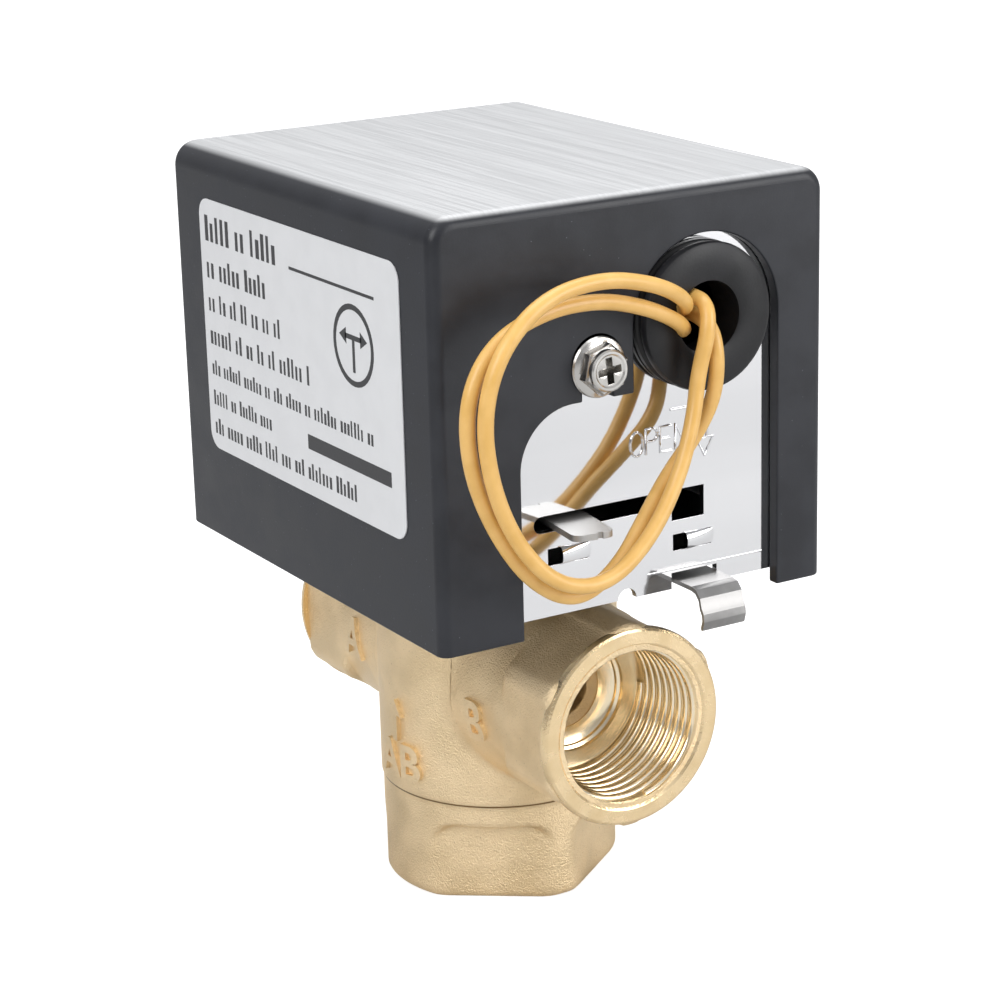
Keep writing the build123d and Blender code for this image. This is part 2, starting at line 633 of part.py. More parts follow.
LEAD_2 = [
    Vector(10.0, -12.0, 104.2), Vector(10.0, -20.0, 104.2), Vector(10.4, -28.5, 103.0),
    Vector(10.6, -37.0, 102.3), Vector(10.8, -43.2, 102.0), Vector(10.8, -47.4, 100.8),
    Vector(10.1, -50.4, 96.8), Vector(8.9, -51.6, 91.5), Vector(5.3, -52.0, 86.3),
    Vector(-0.6, -52.1, 80.8), Vector(-4.8, -52.4, 74.8), Vector(-9.6, -52.2, 67.8),
    Vector(-16.2, -50.8, 63.4), Vector(-24.0, -50.9, 68.0), Vector(-30.1, -50.9, 76.9),
    Vector(-34.0, -51.0, 87.0), Vector(-34.3, -51.1, 97.2), Vector(-29.6, -50.7, 104.6),
    Vector(-20.6, -50.1, 108.0), Vector(-10.6, -49.2, 108.2), Vector(-1.9, -48.2, 105.8),
    Vector(4.2, -47.8, 102.8), Vector(7.5, -45.4, 100.3), Vector(8.1, -41.0, 99.8),
    Vector(8.1, -35.2, 99.6), Vector(7.6, -29.2, 98.5), Vector(6.9, -24.2, 96.9),
]


def lead_tips(points):
    """The bare copper strands past the end of a lead's insulation."""
    end, before = points[-1], points[-2]
    out = (end - before).normalized()
    path = Line(end, end + out * 6)
    return sweep(Plane(path @ 0, z_dir=path % 0) * Circle(0.6), path=path)


# ---- covers and trim ----------------------------------------------------------------
def grommet():
    """The rubber bush in the front plate that the leads pass through."""
    front = FRONT_Y - 4.2
    rings = [
        (11.5, front, front + 2.1),
        (10.4, front + 2.0, front + 2.7),
        (11.5, front + 2.6, FRONT_Y),
        (9.2, FRONT_Y - 0.1, FRONT_Y + SHEET + 0.1),
        (11.0, FRONT_Y + SHEET, FRONT_Y + SHEET + 2.2),
    ]
    bush = None
    for radius, low, high in rings:
        ring = rod_y(GROMMET_X, GROMMET_Z, radius, low, high)
        bush = ring if bush is None else bush + ring
    bush -= rod_y(GROMMET_X, GROMMET_Z, GROMMET_BORE_R, front - 1, FRONT_Y + 6)
    circles = bush.edges().filter_by(GeomType.CIRCLE).group_by(Axis.Y)[0]
    return fillet(circles, 0.6)


def round_top(half, bottom, top, radius, ends):
    """A bar along Y with a flat foot and two rounded top edges."""
    outline = Plane.XZ * Pos(0, (bottom + top) / 2) * Rectangle(2 * half, top - bottom)
    shoulders = outline.vertices().sort_by(Axis.Z)[-2:]
    outline = fillet(shoulders, radius)
    bar = extrude(outline, ends[1] - ends[0])
    return Pos(0, ends[0] - bar.bounding_box().min.Y, 0) * bar


def cover():
    """The moulded cover, open below and cut away over the leads, lever and screw."""
    x, y = HEAD_WIDTH / 2, HEAD_LENGTH / 2
    shell = round_top(x, COVER_BOTTOM, COVER_TOP, COVER_SHOULDER, (-y, y))
    ends = shell.faces().sort_by(Axis.Y)
    rims = ends[0].edges() + ends[-1].edges()
    shell = fillet([edge for edge in rims if edge.center().Z > COVER_BOTTOM + 1], 1.9)
    shell -= round_top(
        x - COVER_WALL,
        COVER_BOTTOM - 1,
        COVER_TOP - COVER_WALL,
        COVER_SHOULDER - COVER_WALL,
        (-y + COVER_WALL, y - COVER_WALL),
    )
    cut_y = (-y - 1, -y + COVER_WALL + 0.05)
    mouth = block((-20.7, 26.1), cut_y, (COVER_BOTTOM - 1, 91.4))
    corner = mouth.edges().filter_by(Axis.Y).group_by(Axis.Z)[-1].sort_by(Axis.X)[0]
    mouth = fillet(corner, 9.5)
    arch = block((-0.5, 26.1), cut_y, (90, 101.0)) + rod_y(12.8, 101.0, 13.3, *cut_y)
    notch = block((SCREW_X - 2.7, SCREW_X + 2.7), cut_y, (90, SCREW_Z))
    notch += rod_y(SCREW_X, SCREW_Z, 2.7, *cut_y)
    shell -= mouth + arch + notch
    for side in (-1, 1):
        rib_x = (side * 22 - 0.6, side * 22 + 0.6)
        shell += block(rib_x, (-y + 3.6, y - COVER_WALL), (116.8, 120.0))
    return shell


def cover_screw():
    """The hex washer-head screw with a cross recess that clamps the cover."""
    face = -HEAD_LENGTH / 2
    washer = rod_y(SCREW_X, SCREW_Z, 4.7, face - 0.9, face)
    head = Pos(SCREW_X, face - 0.8, SCREW_Z) * Rot(90, 0, 0) * Rot(0, 0, 12) * hex_bar(6.8, 3.3)
    cap = rod_y(SCREW_X, SCREW_Z, 3.75, face - 5, face)
    shank = rod_y(SCREW_X, SCREW_Z, 1.9, face, FRONT_Y + SHEET + 6)
    cross = Box(4.0, 2.7, 0.8) + Box(0.8, 2.7, 4.0)
    return washer + (head & cap) + shank - Pos(SCREW_X, face - 3.65, SCREW_Z) * cross


def screw_nut():
    """The clinch nut behind the front plate."""
    nut = Pos(SCREW_X, FRONT_Y + SHEET, SCREW_Z) * Rot(-90, 0, 0) * hex_bar(7.6, 3.4)
    nut += rod_y(SCREW_X, SCREW_Z, 2.6, FRONT_Y + 0.1, FRONT_Y + SHEET + 0.1)
    return nut - rod_y(SCREW_X, SCREW_Z, 1.9, FRONT_Y - 1, FRONT_Y + 9)


def label():
    """The thin metallised label on the long side of the cover."""
    side = -HEAD_WIDTH / 2
    sheet = block((side - 0.22, side), (-34.0, 33.0), (71.8, 114.2))
    return fillet(sheet.edges().filter_by(Axis.X), 3.0)


# ---- every node ---------------------------------------------------------------------
NODES = {
    "valve_body": valve_body(),
    "bonnet": bonnet(),
    "bonnet_seal": torus_z(0, 0, BARREL_TOP + 0.63, 14.93, 0.62),
    "bonnet_screws": bonnet_screws(),
    "stem": stem(),
    "stem_rings": stem_rings(),
    "stem_clip": stem_clip(),
    "ball_arm": ball_arm(),
    "valve_ball": valve_ball(),
    "base_plate": base_plate(),
    "front_plate": front_plate(),
    "motor_deck": motor_deck(),
    "deck_posts": deck_posts(),
    "floor_screws": floor_screws(),
    "deck_screws": deck_screws(),
    "latch_clip": latch_clip(),
    "latch_studs": latch_studs(),
    "hub_bushing": hub_bushing(),
    "drive_sleeve": drive_sleeve(),
    "sector_gear": sector_gear(),
    "spring_post": spring_post(),
    "return_spring": return_spring(),
    "manual_lever": manual_lever(),
    "lever_clip": lever_clip(),
    "transfer_arbor": transfer_arbor(),
    "transfer_pinion": transfer_pinion(),
    "transfer_wheel": transfer_wheel(),
    "motor_pinion": motor_pinion(),
    "motor_can": motor_can(),
    "motor_end_plate": motor_end_plate(),
    "motor_bearings": motor_bearings(),
    "coil_bobbin": coil_bobbin(),
    "coil_winding": coil_winding(),
    "stator_cups": stator_cups(),
    "rotor_magnet": rotor_magnet(),
    "rotor_hub": rotor_hub(),
    "motor_shaft": motor_shaft(),
    "motor_screws": motor_screws(),
    "lead_anchor": lead_anchor(),
    "lead_1": tube_along(LEAD_1, "lead_1"),
    "lead_2": tube_along(LEAD_2, "lead_2"),
    "lead_1_tip": lead_tips(LEAD_1),
    "lead_2_tip": lead_tips(LEAD_2),
    "grommet": grommet(),
    "cover": cover(),
    "cover_screw": cover_screw(),
    "screw_nut": screw_nut(),
    "label": label(),
}

for name, shape in NODES.items():
    save(shape, name)
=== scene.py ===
import logging
import math
from dataclasses import dataclass
from enum import Enum
from random import Random
from typing import Callable, ClassVar, Sequence

import bmesh
import bpy
import numpy as np
from mathutils import Matrix, Vector


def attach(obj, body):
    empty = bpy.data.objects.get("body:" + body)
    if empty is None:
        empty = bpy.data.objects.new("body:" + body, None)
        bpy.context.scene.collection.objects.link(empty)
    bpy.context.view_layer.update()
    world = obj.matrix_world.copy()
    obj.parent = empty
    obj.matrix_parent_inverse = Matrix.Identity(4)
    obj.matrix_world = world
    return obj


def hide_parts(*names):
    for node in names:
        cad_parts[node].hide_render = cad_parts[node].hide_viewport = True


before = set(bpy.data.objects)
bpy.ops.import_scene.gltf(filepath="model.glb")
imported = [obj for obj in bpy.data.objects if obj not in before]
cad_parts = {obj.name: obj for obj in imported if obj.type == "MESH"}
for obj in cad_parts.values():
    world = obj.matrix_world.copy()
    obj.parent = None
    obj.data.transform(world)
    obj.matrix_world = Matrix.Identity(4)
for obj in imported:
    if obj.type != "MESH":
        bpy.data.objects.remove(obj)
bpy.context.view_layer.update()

MM = 0.001
LOG = logging.getLogger("zone_valve")

# Sizes in mm that more than one sub-assembly needs.
RUN_HEIGHT = 36.8  # the axis of ports A and B
RUN_HALF = 41.0  # from the middle to either port's face
BARREL_R = 20.2
BARREL_TOP = 50.0
FRONT_Y = -41.1  # the bright plate's outer face
COVER_FACE_Y = -43.3  # the cover's face on the same side

Point = tuple[float, float, float]
Colour = tuple[float, float, float]
Profile = Sequence[tuple[float, float]]
Stroke = tuple[Profile, bool]


class Body(Enum):
    """The rigid bodies that a new piece rides on. The others keep their CAD pieces."""

    FIXED = "body"
    LEVER = "lever"
    LATCH = "latch"
    COVER = "head_cover"


class Slot(Enum):
    """The material slots that the pieces fill."""

    CAST_BRASS = "cast_brass"
    TURNED_BRASS = "turned_brass"
    BRONZE = "bronze"
    PLATE = "bright_plate"
    SHEET = "galvanised_sheet"
    CAN = "zinc_can"
    ZINC = "zinc_steel"
    NICKEL = "nickel_screw"
    STAINLESS = "stainless"
    SPRING = "spring_steel"
    RUBBER = "black_rubber"
    COVER = "cover_plastic"
    LABEL = "label_film"
    BOBBIN = "bobbin_plastic"
    LEAD = "lead_insulation"


class Blend(Enum):
    """What a Mix node blends: its data type, its two inputs and its output."""

    COLOUR = ("RGBA", 6, 7, 2)
    VALUE = ("FLOAT", 2, 3, 0)


# ---- shader groups --------------------------------------------------------------------
class ShaderGroup:
    """A shader node group with named sockets, built once and placed many times."""

    def __init__(self, name: str) -> None:
        """Start an empty group.

        Args:
            name: What the group does.
        """
        self.tree = bpy.data.node_groups.new(name, "ShaderNodeTree")
        self.entry = self.tree.nodes.new("NodeGroupInput")
        self.exit = self.tree.nodes.new("NodeGroupOutput")

    def socket(self, name: str, kind: str, default: object = None) -> None:
        """Add an input socket.

        Args:
            name: The socket's name.
            kind: Float, Vector or Color.
            default: Its value where nothing is linked.
        """
        made = self.tree.interface.new_socket(name, in_out="INPUT", socket_type=f"NodeSocket{kind}")
        if default is not None:
            made.default_value = default

    def result(self, name: str, kind: str, source: bpy.types.NodeSocket) -> None:
        """Add an output socket and link it."""
        self.tree.interface.new_socket(name, in_out="OUTPUT", socket_type=f"NodeSocket{kind}")
        self.tree.links.new(source, self.exit.inputs[name])

    def node(self, kind: str, **values: object) -> bpy.types.Node:
        """Add a node and set its properties.

        Args:
            kind: The node's type.
            values: Its properties by name.

        Returns:
            The node.
        """
        made = self.tree.nodes.new(kind)
        for key, value in values.items():
            setattr(made, key, value)
        return made

    def link(self, source: bpy.types.NodeSocket, target: bpy.types.NodeSocket) -> None:
        """Join two sockets."""
        self.tree.links.new(source, target)

    def ramp(self, source: bpy.types.NodeSocket, low: float, high: float) -> bpy.types.NodeSocket:
        """Stretch a value between two limits to 0 and 1, smoothly.

        Args:
            source: The value's socket.
            low: The value that gives 0.
            high: The value that gives 1.

        Returns:
            The stretched value's socket.
        """
        node = self.node("ShaderNodeMapRange", interpolation_type="SMOOTHSTEP")
        node.inputs["From Min"].default_value = low
        node.inputs["From Max"].default_value = high
        self.link(source, node.inputs["Value"])
        return node.outputs["Result"]

    def maths(self, operation: str, *inputs: object) -> bpy.types.NodeSocket:
        """Add a Math node over sockets and numbers.

        Args:
            operation: The node's operation.
            inputs: Sockets or numbers, in order.

        Returns:
            The result's socket.
        """
        node = self.node("ShaderNodeMath", operation=operation)
        for index, value in enumerate(inputs):
            if isinstance(value, bpy.types.NodeSocket):
                self.link(value, node.inputs[index])
            else:
                node.inputs[index].default_value = value
        return node.outputs[0]


def mottle_group() -> bpy.types.NodeTree:
    """Slow colour and roughness variation over a surface.

    Returns:
        A group that puts out Mask, Colour and Roughness.
    """
    group = ShaderGroup("surface_mottle")
    group.socket("Vector", "Vector")
    group.socket("Scale", "Float", 120.0)
    group.socket("Stretch", "Vector", (1.0, 1.0, 1.0))
    group.socket("Low Colour", "Color", (0.1, 0.1, 0.1, 1.0))
    group.socket("High Colour", "Color", (0.2, 0.2, 0.2, 1.0))
    group.socket("Low Roughness", "Float", 0.3)
    group.socket("High Roughness", "Float", 0.5)
    stretch = group.node("ShaderNodeVectorMath", operation="MULTIPLY")
    group.link(group.entry.outputs["Vector"], stretch.inputs[0])
    group.link(group.entry.outputs["Stretch"], stretch.inputs[1])
    noise = group.node("ShaderNodeTexNoise")
    noise.inputs["Detail"].default_value = 5.0
    group.link(stretch.outputs[0], noise.inputs["Vector"])
    group.link(group.entry.outputs["Scale"], noise.inputs["Scale"])
    mask = group.ramp(noise.outputs["Fac"], 0.32, 0.68)
    blend = group.node("ShaderNodeMix", data_type="RGBA")
    group.link(mask, blend.inputs[0])
    group.link(group.entry.outputs["Low Colour"], blend.inputs[6])
    group.link(group.entry.outputs["High Colour"], blend.inputs[7])
    rough = group.node("ShaderNodeMapRange")
    group.link(mask, rough.inputs["Value"])
    group.link(group.entry.outputs["Low Roughness"], rough.inputs["To Min"])
    group.link(group.entry.outputs["High Roughness"], rough.inputs["To Max"])
    group.result("Mask", "Float", mask)
    group.result("Colour", "Color", blend.outputs[2])
    group.result("Roughness", "Float", rough.outputs["Result"])
    return group.tree


def grain_group() -> bpy.types.NodeTree:
    """Fine relief: sand-cast skin, moulded texture or drawn streaks, by its stretch.

    Returns:
        A group that puts out Height and Speckle.
    """
    group = ShaderGroup("fine_relief")
    group.socket("Vector", "Vector")
    group.socket("Scale", "Float", 900.0)
    group.socket("Stretch", "Vector", (1.0, 1.0, 1.0))
    group.socket("Coarse Share", "Float", 0.4)
    stretch = group.node("ShaderNodeVectorMath", operation="MULTIPLY")
    group.link(group.entry.outputs["Vector"], stretch.inputs[0])
    group.link(group.entry.outputs["Stretch"], stretch.inputs[1])
    fine = group.node("ShaderNodeTexNoise")
    fine.inputs["Detail"].default_value = 3.0
    fine.inputs["Roughness"].default_value = 0.6
    group.link(stretch.outputs[0], fine.inputs["Vector"])
    group.link(group.entry.outputs["Scale"], fine.inputs["Scale"])
    coarse = group.node("ShaderNodeTexNoise")
    coarse.inputs["Detail"].default_value = 2.0
    group.link(stretch.outputs[0], coarse.inputs["Vector"])
    coarse_scale = 0.22
    wide = group.maths("MULTIPLY", group.entry.outputs["Scale"], coarse_scale)
    group.link(wide, coarse.inputs["Scale"])
    part = group.maths("MULTIPLY", coarse.outputs["Fac"], group.entry.outputs["Coarse Share"])
    height = group.maths("ADD", fine.outputs["Fac"], part)
    group.result("Height", "Float", height)
    group.result("Speckle", "Float", group.ramp(fine.outputs["Fac"], 0.63, 0.77))
    return group.tree


def fleck_group() -> bpy.types.NodeTree:
    """Tiny bright flecks scattered through an enamel.

    Returns:
        A group that puts out Mask.
    """
    group = ShaderGroup("enamel_flecks")
    group.socket("Vector", "Vector")
    group.socket("Scale", "Float", 1500.0)
    group.socket("Size", "Float", 0.18)
    cells = group.node("ShaderNodeTexVoronoi")
    group.link(group.entry.outputs["Vector"], cells.inputs["Vector"])
    group.link(group.entry.outputs["Scale"], cells.inputs["Scale"])
    near = group.maths("LESS_THAN", cells.outputs["Distance"], group.entry.outputs["Size"])
    split = group.node("ShaderNodeSeparateColor")
    group.link(cells.outputs["Color"], split.inputs[0])
    bare_share = 0.86
    some = group.maths("GREATER_THAN", split.outputs[0], bare_share)
    group.result("Mask", "Float", group.maths("MULTIPLY", near, some))
    return group.tree


def band_group() -> bpy.types.NodeTree:
    """A soft band across one coordinate, for a seam or the painted sheen on the top of a shell.

    Returns:
        A group that puts out Mask, 1 at Middle and 0 beyond Width.
    """
    group = ShaderGroup("soft_band")
    group.socket("Value", "Float", 0.0)
    group.socket("Middle", "Float", 0.0)
    group.socket("Width", "Float", 0.001)
    away = group.maths("SUBTRACT", group.entry.outputs["Value"], group.entry.outputs["Middle"])
    ratio = group.maths("DIVIDE", group.maths("ABSOLUTE", away), group.entry.outputs["Width"])
    group.result("Mask", "Float", group.maths("SUBTRACT", 1.0, group.ramp(ratio, 0.2, 1.0)))
    return group.tree


GROUPS: dict[str, bpy.types.NodeTree] = {}


def shader_group(name: str, maker: Callable[[], bpy.types.NodeTree]) -> bpy.types.NodeTree:
    """A shader group, made the first time that it is asked for.

    Args:
        name: What it is kept under.
        maker: What builds it.

    Returns:
        The group's tree.
    """
    if name not in GROUPS:
        GROUPS[name] = maker()
    return GROUPS[name]


# ---- finishes -------------------------------------------------------------------------
class Dresser:
    """Builds one material's node tree around its Principled BSDF."""

    def __init__(self, name: str) -> None:
        """Start a material.

        Args:
            name: The material's name.
        """
        self.material = bpy.data.materials.new(name)
        self.material.use_nodes = True
        self.tree = self.material.node_tree
        self.shader = self.tree.nodes["Principled BSDF"]
        place = self.tree.nodes.new("ShaderNodeTexCoord")
        self.place = place.outputs["Object"]

    def group(self, tree: bpy.types.NodeTree, **values: object) -> bpy.types.Node:
        """Place a shader group, fed with the object's own coordinates.

        Args:
            tree: The group's tree.
            values: The group's inputs, with spaces as underscores.

        Returns:
            The group's node.
        """
        node = self.tree.nodes.new("ShaderNodeGroup")
        node.node_tree = tree
        for key, value in values.items():
            node.inputs[key.replace("_", " ")].default_value = value
        if "Vector" in node.inputs:
            self.link(self.place, node.inputs["Vector"])
        return node

    def link(self, source: bpy.types.NodeSocket, target: bpy.types.NodeSocket) -> None:
        """Join two sockets."""
        self.tree.links.new(source, target)

    def bump(self, height: bpy.types.NodeSocket, distance: float) -> None:
        """Give the surface a relief, on top of any relief it already has.

        Args:
            height: The relief's socket.
            distance: Its depth in metres.
        """
        node = self.tree.nodes.new("ShaderNodeBump")
        node.inputs["Distance"].default_value = distance
        self.link(height, node.inputs["Height"])
        normal = self.shader.inputs["Normal"]
        if normal.is_linked:
            self.link(normal.links[0].from_socket, node.inputs["Normal"])
        self.link(node.outputs["Normal"], normal)

    def mix(
        self, mask: bpy.types.NodeSocket, low: object, high: object, kind: Blend = Blend.COLOUR
    ) -> bpy.types.NodeSocket:
        """Mix two colours or two values by a mask.

        Args:
            mask: The mask's socket.
            low: A socket or a constant, where the mask is 0.
            high: A socket or a constant, where the mask is 1.
            kind: Whether colours or values are mixed.

        Returns:
            The mixed socket.
        """
        data_type, first, second, result = kind.value
        node = self.tree.nodes.new("ShaderNodeMix")
        node.data_type = data_type
        self.link(mask, node.inputs[0])
        for value, target in ((low, node.inputs[first]), (high, node.inputs[second])):
            if isinstance(value, bpy.types.NodeSocket):
                self.link(value, target)
            else:
                target.default_value = (*value, 1.0) if kind is Blend.COLOUR else value
        return node.outputs[result]

    def axis(self, index: int) -> bpy.types.NodeSocket:
        """One of the object's own coordinates.

        Args:
            index: 0, 1 or 2 for X, Y or Z.

        Returns:
            The coordinate's socket.
        """
        node = self.tree.nodes.new("ShaderNodeSeparateXYZ")
        self.link(self.place, node.inputs[0])
        return node.outputs[index]


@dataclass(frozen=True)
class Finish:
    """A plain finish: mottled colour, a fine relief and a gloss.

    The relief's stretch shrinks the pattern along the axes where it is large, so a
    small number along an axis draws the pattern out along it.
    """

    name: str
    low: Colour
    high: Colour
    roughness: tuple[float, float]
    metallic: float = 0.0
    mottle: float = 160.0
    stretch: Point = (1.0, 1.0, 1.0)
    grain: float = 1200.0
    relief: float = 0.01
    coat: float = 0.0
    anisotropic: float = 0.0
    specular: float = 0.5

    def begin(self) -> tuple[Dresser, bpy.types.Node, bpy.types.Node]:
        """Build the common part of the material.

        Returns:
            The dresser, its mottle group and its grain group.
        """
        dresser = Dresser(self.name)
        mottle = dresser.group(
            shader_group("mottle", mottle_group), Scale=self.mottle, Stretch=self.stretch,
            Low_Colour=(*self.low, 1.0), High_Colour=(*self.high, 1.0),
            Low_Roughness=self.roughness[0], High_Roughness=self.roughness[1],
        )
        grain = dresser.group(
            shader_group("grain", grain_group), Scale=self.grain, Stretch=self.stretch
        )
        dresser.link(mottle.outputs["Colour"], dresser.shader.inputs["Base Color"])
        dresser.link(mottle.outputs["Roughness"], dresser.shader.inputs["Roughness"])
        dresser.shader.inputs["Metallic"].default_value = self.metallic
        dresser.shader.inputs["Coat Weight"].default_value = self.coat
        dresser.shader.inputs["Coat Roughness"].default_value = 0.12
        dresser.shader.inputs["Anisotropic"].default_value = self.anisotropic
        dresser.shader.inputs["Specular IOR Level"].default_value = self.specular
        dresser.bump(grain.outputs["Height"], self.relief * MM)
        return dresser, mottle, grain

    def material(self) -> bpy.types.Material:
        """Build the material."""
        return self.begin()[0].material


@dataclass(frozen=True)
class CastBrass(Finish):
    """Sand-cast brass with darker pits and a fine parting line round the barrel."""

    seam_height: float = 17.4
    seam_width: float = 0.28
    pit: Colour = (0.52, 0.37, 0.19)
    seam: Colour = (0.20, 0.12, 0.05)

    def material(self) -> bpy.types.Material:
        """Build the material, with pits and the parting line.

        Returns:
            The material.
        """
        dresser, mottle, grain = self.begin()
        pits = dresser.mix(grain.outputs["Speckle"], mottle.outputs["Colour"], self.pit)
        band = dresser.group(
            shader_group("band", band_group),
            Middle=self.seam_height * MM, Width=self.seam_width * MM,
        )
        dresser.link(dresser.axis(2), band.inputs["Value"])
        seam = dresser.mix(band.outputs["Mask"], pits, self.seam)
        dresser.link(seam, dresser.shader.inputs["Base Color"])
        return dresser.material


@dataclass(frozen=True)
class CoverEnamel(Finish):
    """Charcoal enamel with flecks, and a painted sheen over the top face: paler, half-metallic
    colour with brushed streaks.
    """

    top: float = 122.0
    fade: float = 1.15
    fleck: Colour = (0.11, 0.12, 0.14)
    top_sheen_low: Colour = (0.56, 0.565, 0.57)
    top_sheen_high: Colour = (0.63, 0.635, 0.64)
    top_roughness: tuple[float, float] = (0.40, 0.54)
    top_metallic: float = 0.45

    def material(self) -> bpy.types.Material:
        """Build the material, with flecks on the sides and a painted sheen with brushed streaks on
        the top.

        Returns:
            The material.
        """
        dresser, mottle, _ = self.begin()
        flecks = dresser.group(shader_group("flecks", fleck_group), Scale=1000.0, Size=0.07)
        sides = dresser.mix(flecks.outputs["Mask"], mottle.outputs["Colour"], self.fleck)
        # Painted sheen: the top face takes a paler, half-metallic colour that stands in for light
        # reflected off it; the streaks along Y are its brushed grain.
        streaks = dresser.group(
            shader_group("mottle", mottle_group), Scale=2600.0, Stretch=(1.0, 0.012, 0.2),
            Low_Colour=(*self.top_sheen_low, 1.0), High_Colour=(*self.top_sheen_high, 1.0),
            Low_Roughness=self.top_roughness[0], High_Roughness=self.top_roughness[1],
        )
        band = dresser.group(
            shader_group("band", band_group),
            Middle=(self.top + 0.25) * MM, Width=self.fade * MM,
        )
        dresser.link(dresser.axis(2), band.inputs["Value"])
        # This mask lays the painted sheen on the top face and fades it over the rounded edges.
        top = band.outputs["Mask"]
        colour = dresser.mix(top, sides, streaks.outputs["Colour"])
        dresser.link(colour, dresser.shader.inputs["Base Color"])
        rough = dresser.mix(
            top, mottle.outputs["Roughness"], streaks.outputs["Roughness"], Blend.VALUE
        )
        dresser.link(rough, dresser.shader.inputs["Roughness"])
        metal = dresser.mix(top, 0.0, self.top_metallic, Blend.VALUE)
        dresser.link(metal, dresser.shader.inputs["Metallic"])
        return dresser.material


BRASS_CAST = CastBrass(
    "sand_cast_brass", (0.85, 0.66, 0.40), (0.97, 0.775, 0.50), (0.34, 0.47), 1.0,
    mottle=110.0, grain=3300.0, relief=0.24,
)
BRASS_MACHINED = Finish(
    "machined_brass", (0.95, 0.80, 0.56), (0.99, 0.87, 0.66), (0.15, 0.25), 1.0,
    mottle=140.0, grain=900.0, relief=0.012,
)
BRASS_FACED = Finish(
    "faced_brass", (0.84, 0.64, 0.37), (0.93, 0.73, 0.45), (0.20, 0.32), 1.0,
    mottle=220.0, grain=1900.0, relief=0.07,
)
BRONZE = Finish("sintered_bronze", (0.42, 0.26, 0.13), (0.56, 0.36, 0.19), (0.38, 0.5), 1.0)
RUBBER = Finish(
    "black_rubber", (0.008, 0.008, 0.009), (0.013, 0.013, 0.015), (0.36, 0.46),
    grain=2200.0, relief=0.02, specular=0.35,
)
STAINLESS = Finish(
    "stainless_sheet", (0.39, 0.385, 0.375), (0.47, 0.465, 0.455), (0.40, 0.50), 1.0,
    stretch=(1.0, 0.05, 1.0), relief=0.012,
)
SPRING_STEEL = Finish(
    "spring_steel", (0.26, 0.255, 0.25), (0.35, 0.345, 0.34), (0.34, 0.46), 1.0,
    stretch=(1.0, 0.06, 1.0), relief=0.015,
)
SINTERED = Finish("sintered_steel", (0.26, 0.26, 0.27), (0.36, 0.36, 0.37), (0.4, 0.55), 1.0)
GALVANISED = Finish(
    "galvanised_sheet", (0.52, 0.53, 0.55), (0.60, 0.61, 0.62), (0.28, 0.40), 1.0, mottle=260.0
)
BRIGHT = Finish(
    "bright_plate", (0.71, 0.71, 0.72), (0.78, 0.78, 0.79), (0.05, 0.09), 1.0,
    mottle=60.0, stretch=(0.1, 1.0, 1.0), grain=700.0, relief=0.003,
)
ZINC = Finish("zinc_screw", (0.50, 0.53, 0.60), (0.64, 0.66, 0.70), (0.22, 0.34), 1.0)
NICKEL = Finish("nickel_screw", (0.52, 0.505, 0.48), (0.63, 0.615, 0.59), (0.18, 0.28), 1.0)
ACETAL = Finish("natural_acetal", (0.78, 0.76, 0.69), (0.84, 0.82, 0.76), (0.36, 0.44))
BLACK_NYLON = Finish("black_nylon", (0.02, 0.02, 0.022), (0.035, 0.035, 0.038), (0.4, 0.5))
COPPER = Finish(
    "copper_wire", (0.60, 0.27, 0.13), (0.78, 0.38, 0.20), (0.2, 0.3), 1.0,
    stretch=(0.2, 0.2, 6.0),
)
FERRITE = Finish("ferrite", (0.03, 0.03, 0.034), (0.05, 0.05, 0.055), (0.45, 0.6))
LEAD_SLEEVE = Finish(
    "lead_sleeve", (0.70, 0.41, 0.11), (0.76, 0.46, 0.14), (0.34, 0.42),
    mottle=300.0, grain=1600.0, relief=0.012, coat=0.1,
)
LABEL_FILM = Finish(
    "label_film", (0.645, 0.65, 0.66), (0.67, 0.675, 0.685), (0.36, 0.42),
    mottle=220.0, relief=0.004, specular=0.4,
)
PRINT = Finish("label_print", (0.018, 0.018, 0.02), (0.03, 0.03, 0.033), (0.35, 0.45))
ENAMEL = CoverEnamel(
    "charcoal_enamel", (0.015, 0.016, 0.020), (0.023, 0.0245, 0.030), (0.34, 0.44),
    mottle=120.0, grain=2400.0, relief=0.012, specular=0.36,
)

MATERIALS: dict[str, bpy.types.Material] = {}


def dressed(finish: Finish) -> bpy.types.Material:
    """The material of a finish, built the first time that it is asked for.

    Args:
        finish: The finish.

    Returns:
        Its one material.
    """
    if finish.name not in MATERIALS:
        MATERIALS[finish.name] = finish.material()
    return MATERIALS[finish.name]


# ---- mesh helpers ---------------------------------------------------------------------
def new_piece(name: str, mesh: bpy.types.Mesh, finish: Finish) -> bpy.types.Object:
    """Put a mesh into the scene as a piece with one finish.

    Args:
        name: The piece's name.
        mesh: Its mesh, in metres, in the object's frame.
        finish: What it is finished with.

    Returns:
        The new object.
    """
    piece = bpy.data.objects.new(name, mesh)
    bpy.context.scene.collection.objects.link(piece)
    mesh.materials.clear()
    mesh.materials.append(dressed(finish))
    return piece


def settle(piece: bpy.types.Object, body: Body, slot: Slot, *nodes: str) -> None:
    """Say which body a piece rides on and the nodes that it stands for.

    Args:
        piece: The piece.
        body: The body that it moves with.
        slot: The material slot that it fills; not used.
        nodes: The nodes that it replaces, if any.
    """
    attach(piece, body.value)
    if nodes:
        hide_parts(*nodes)
    LOG.info("%s rides on %s, %d faces", piece.name, body.value, len(piece.data.polygons))


def mesh_of(name: str, work: bmesh.types.BMesh, sharp: float = 35.0) -> bpy.types.Mesh:
    """Turn a bmesh into a smooth-shaded mesh with sharp edges past an angle.

    Args:
        name: The mesh's name.
        work: The bmesh, which is freed.
        sharp: The angle in degrees.

    Returns:
        The mesh.
    """
    mesh = bpy.data.meshes.new(name)
    work.to_mesh(mesh)
    work.free()
    for polygon in mesh.polygons:
        polygon.use_smooth = True
    mesh.set_sharp_from_angle(angle=math.radians(sharp))
    return mesh


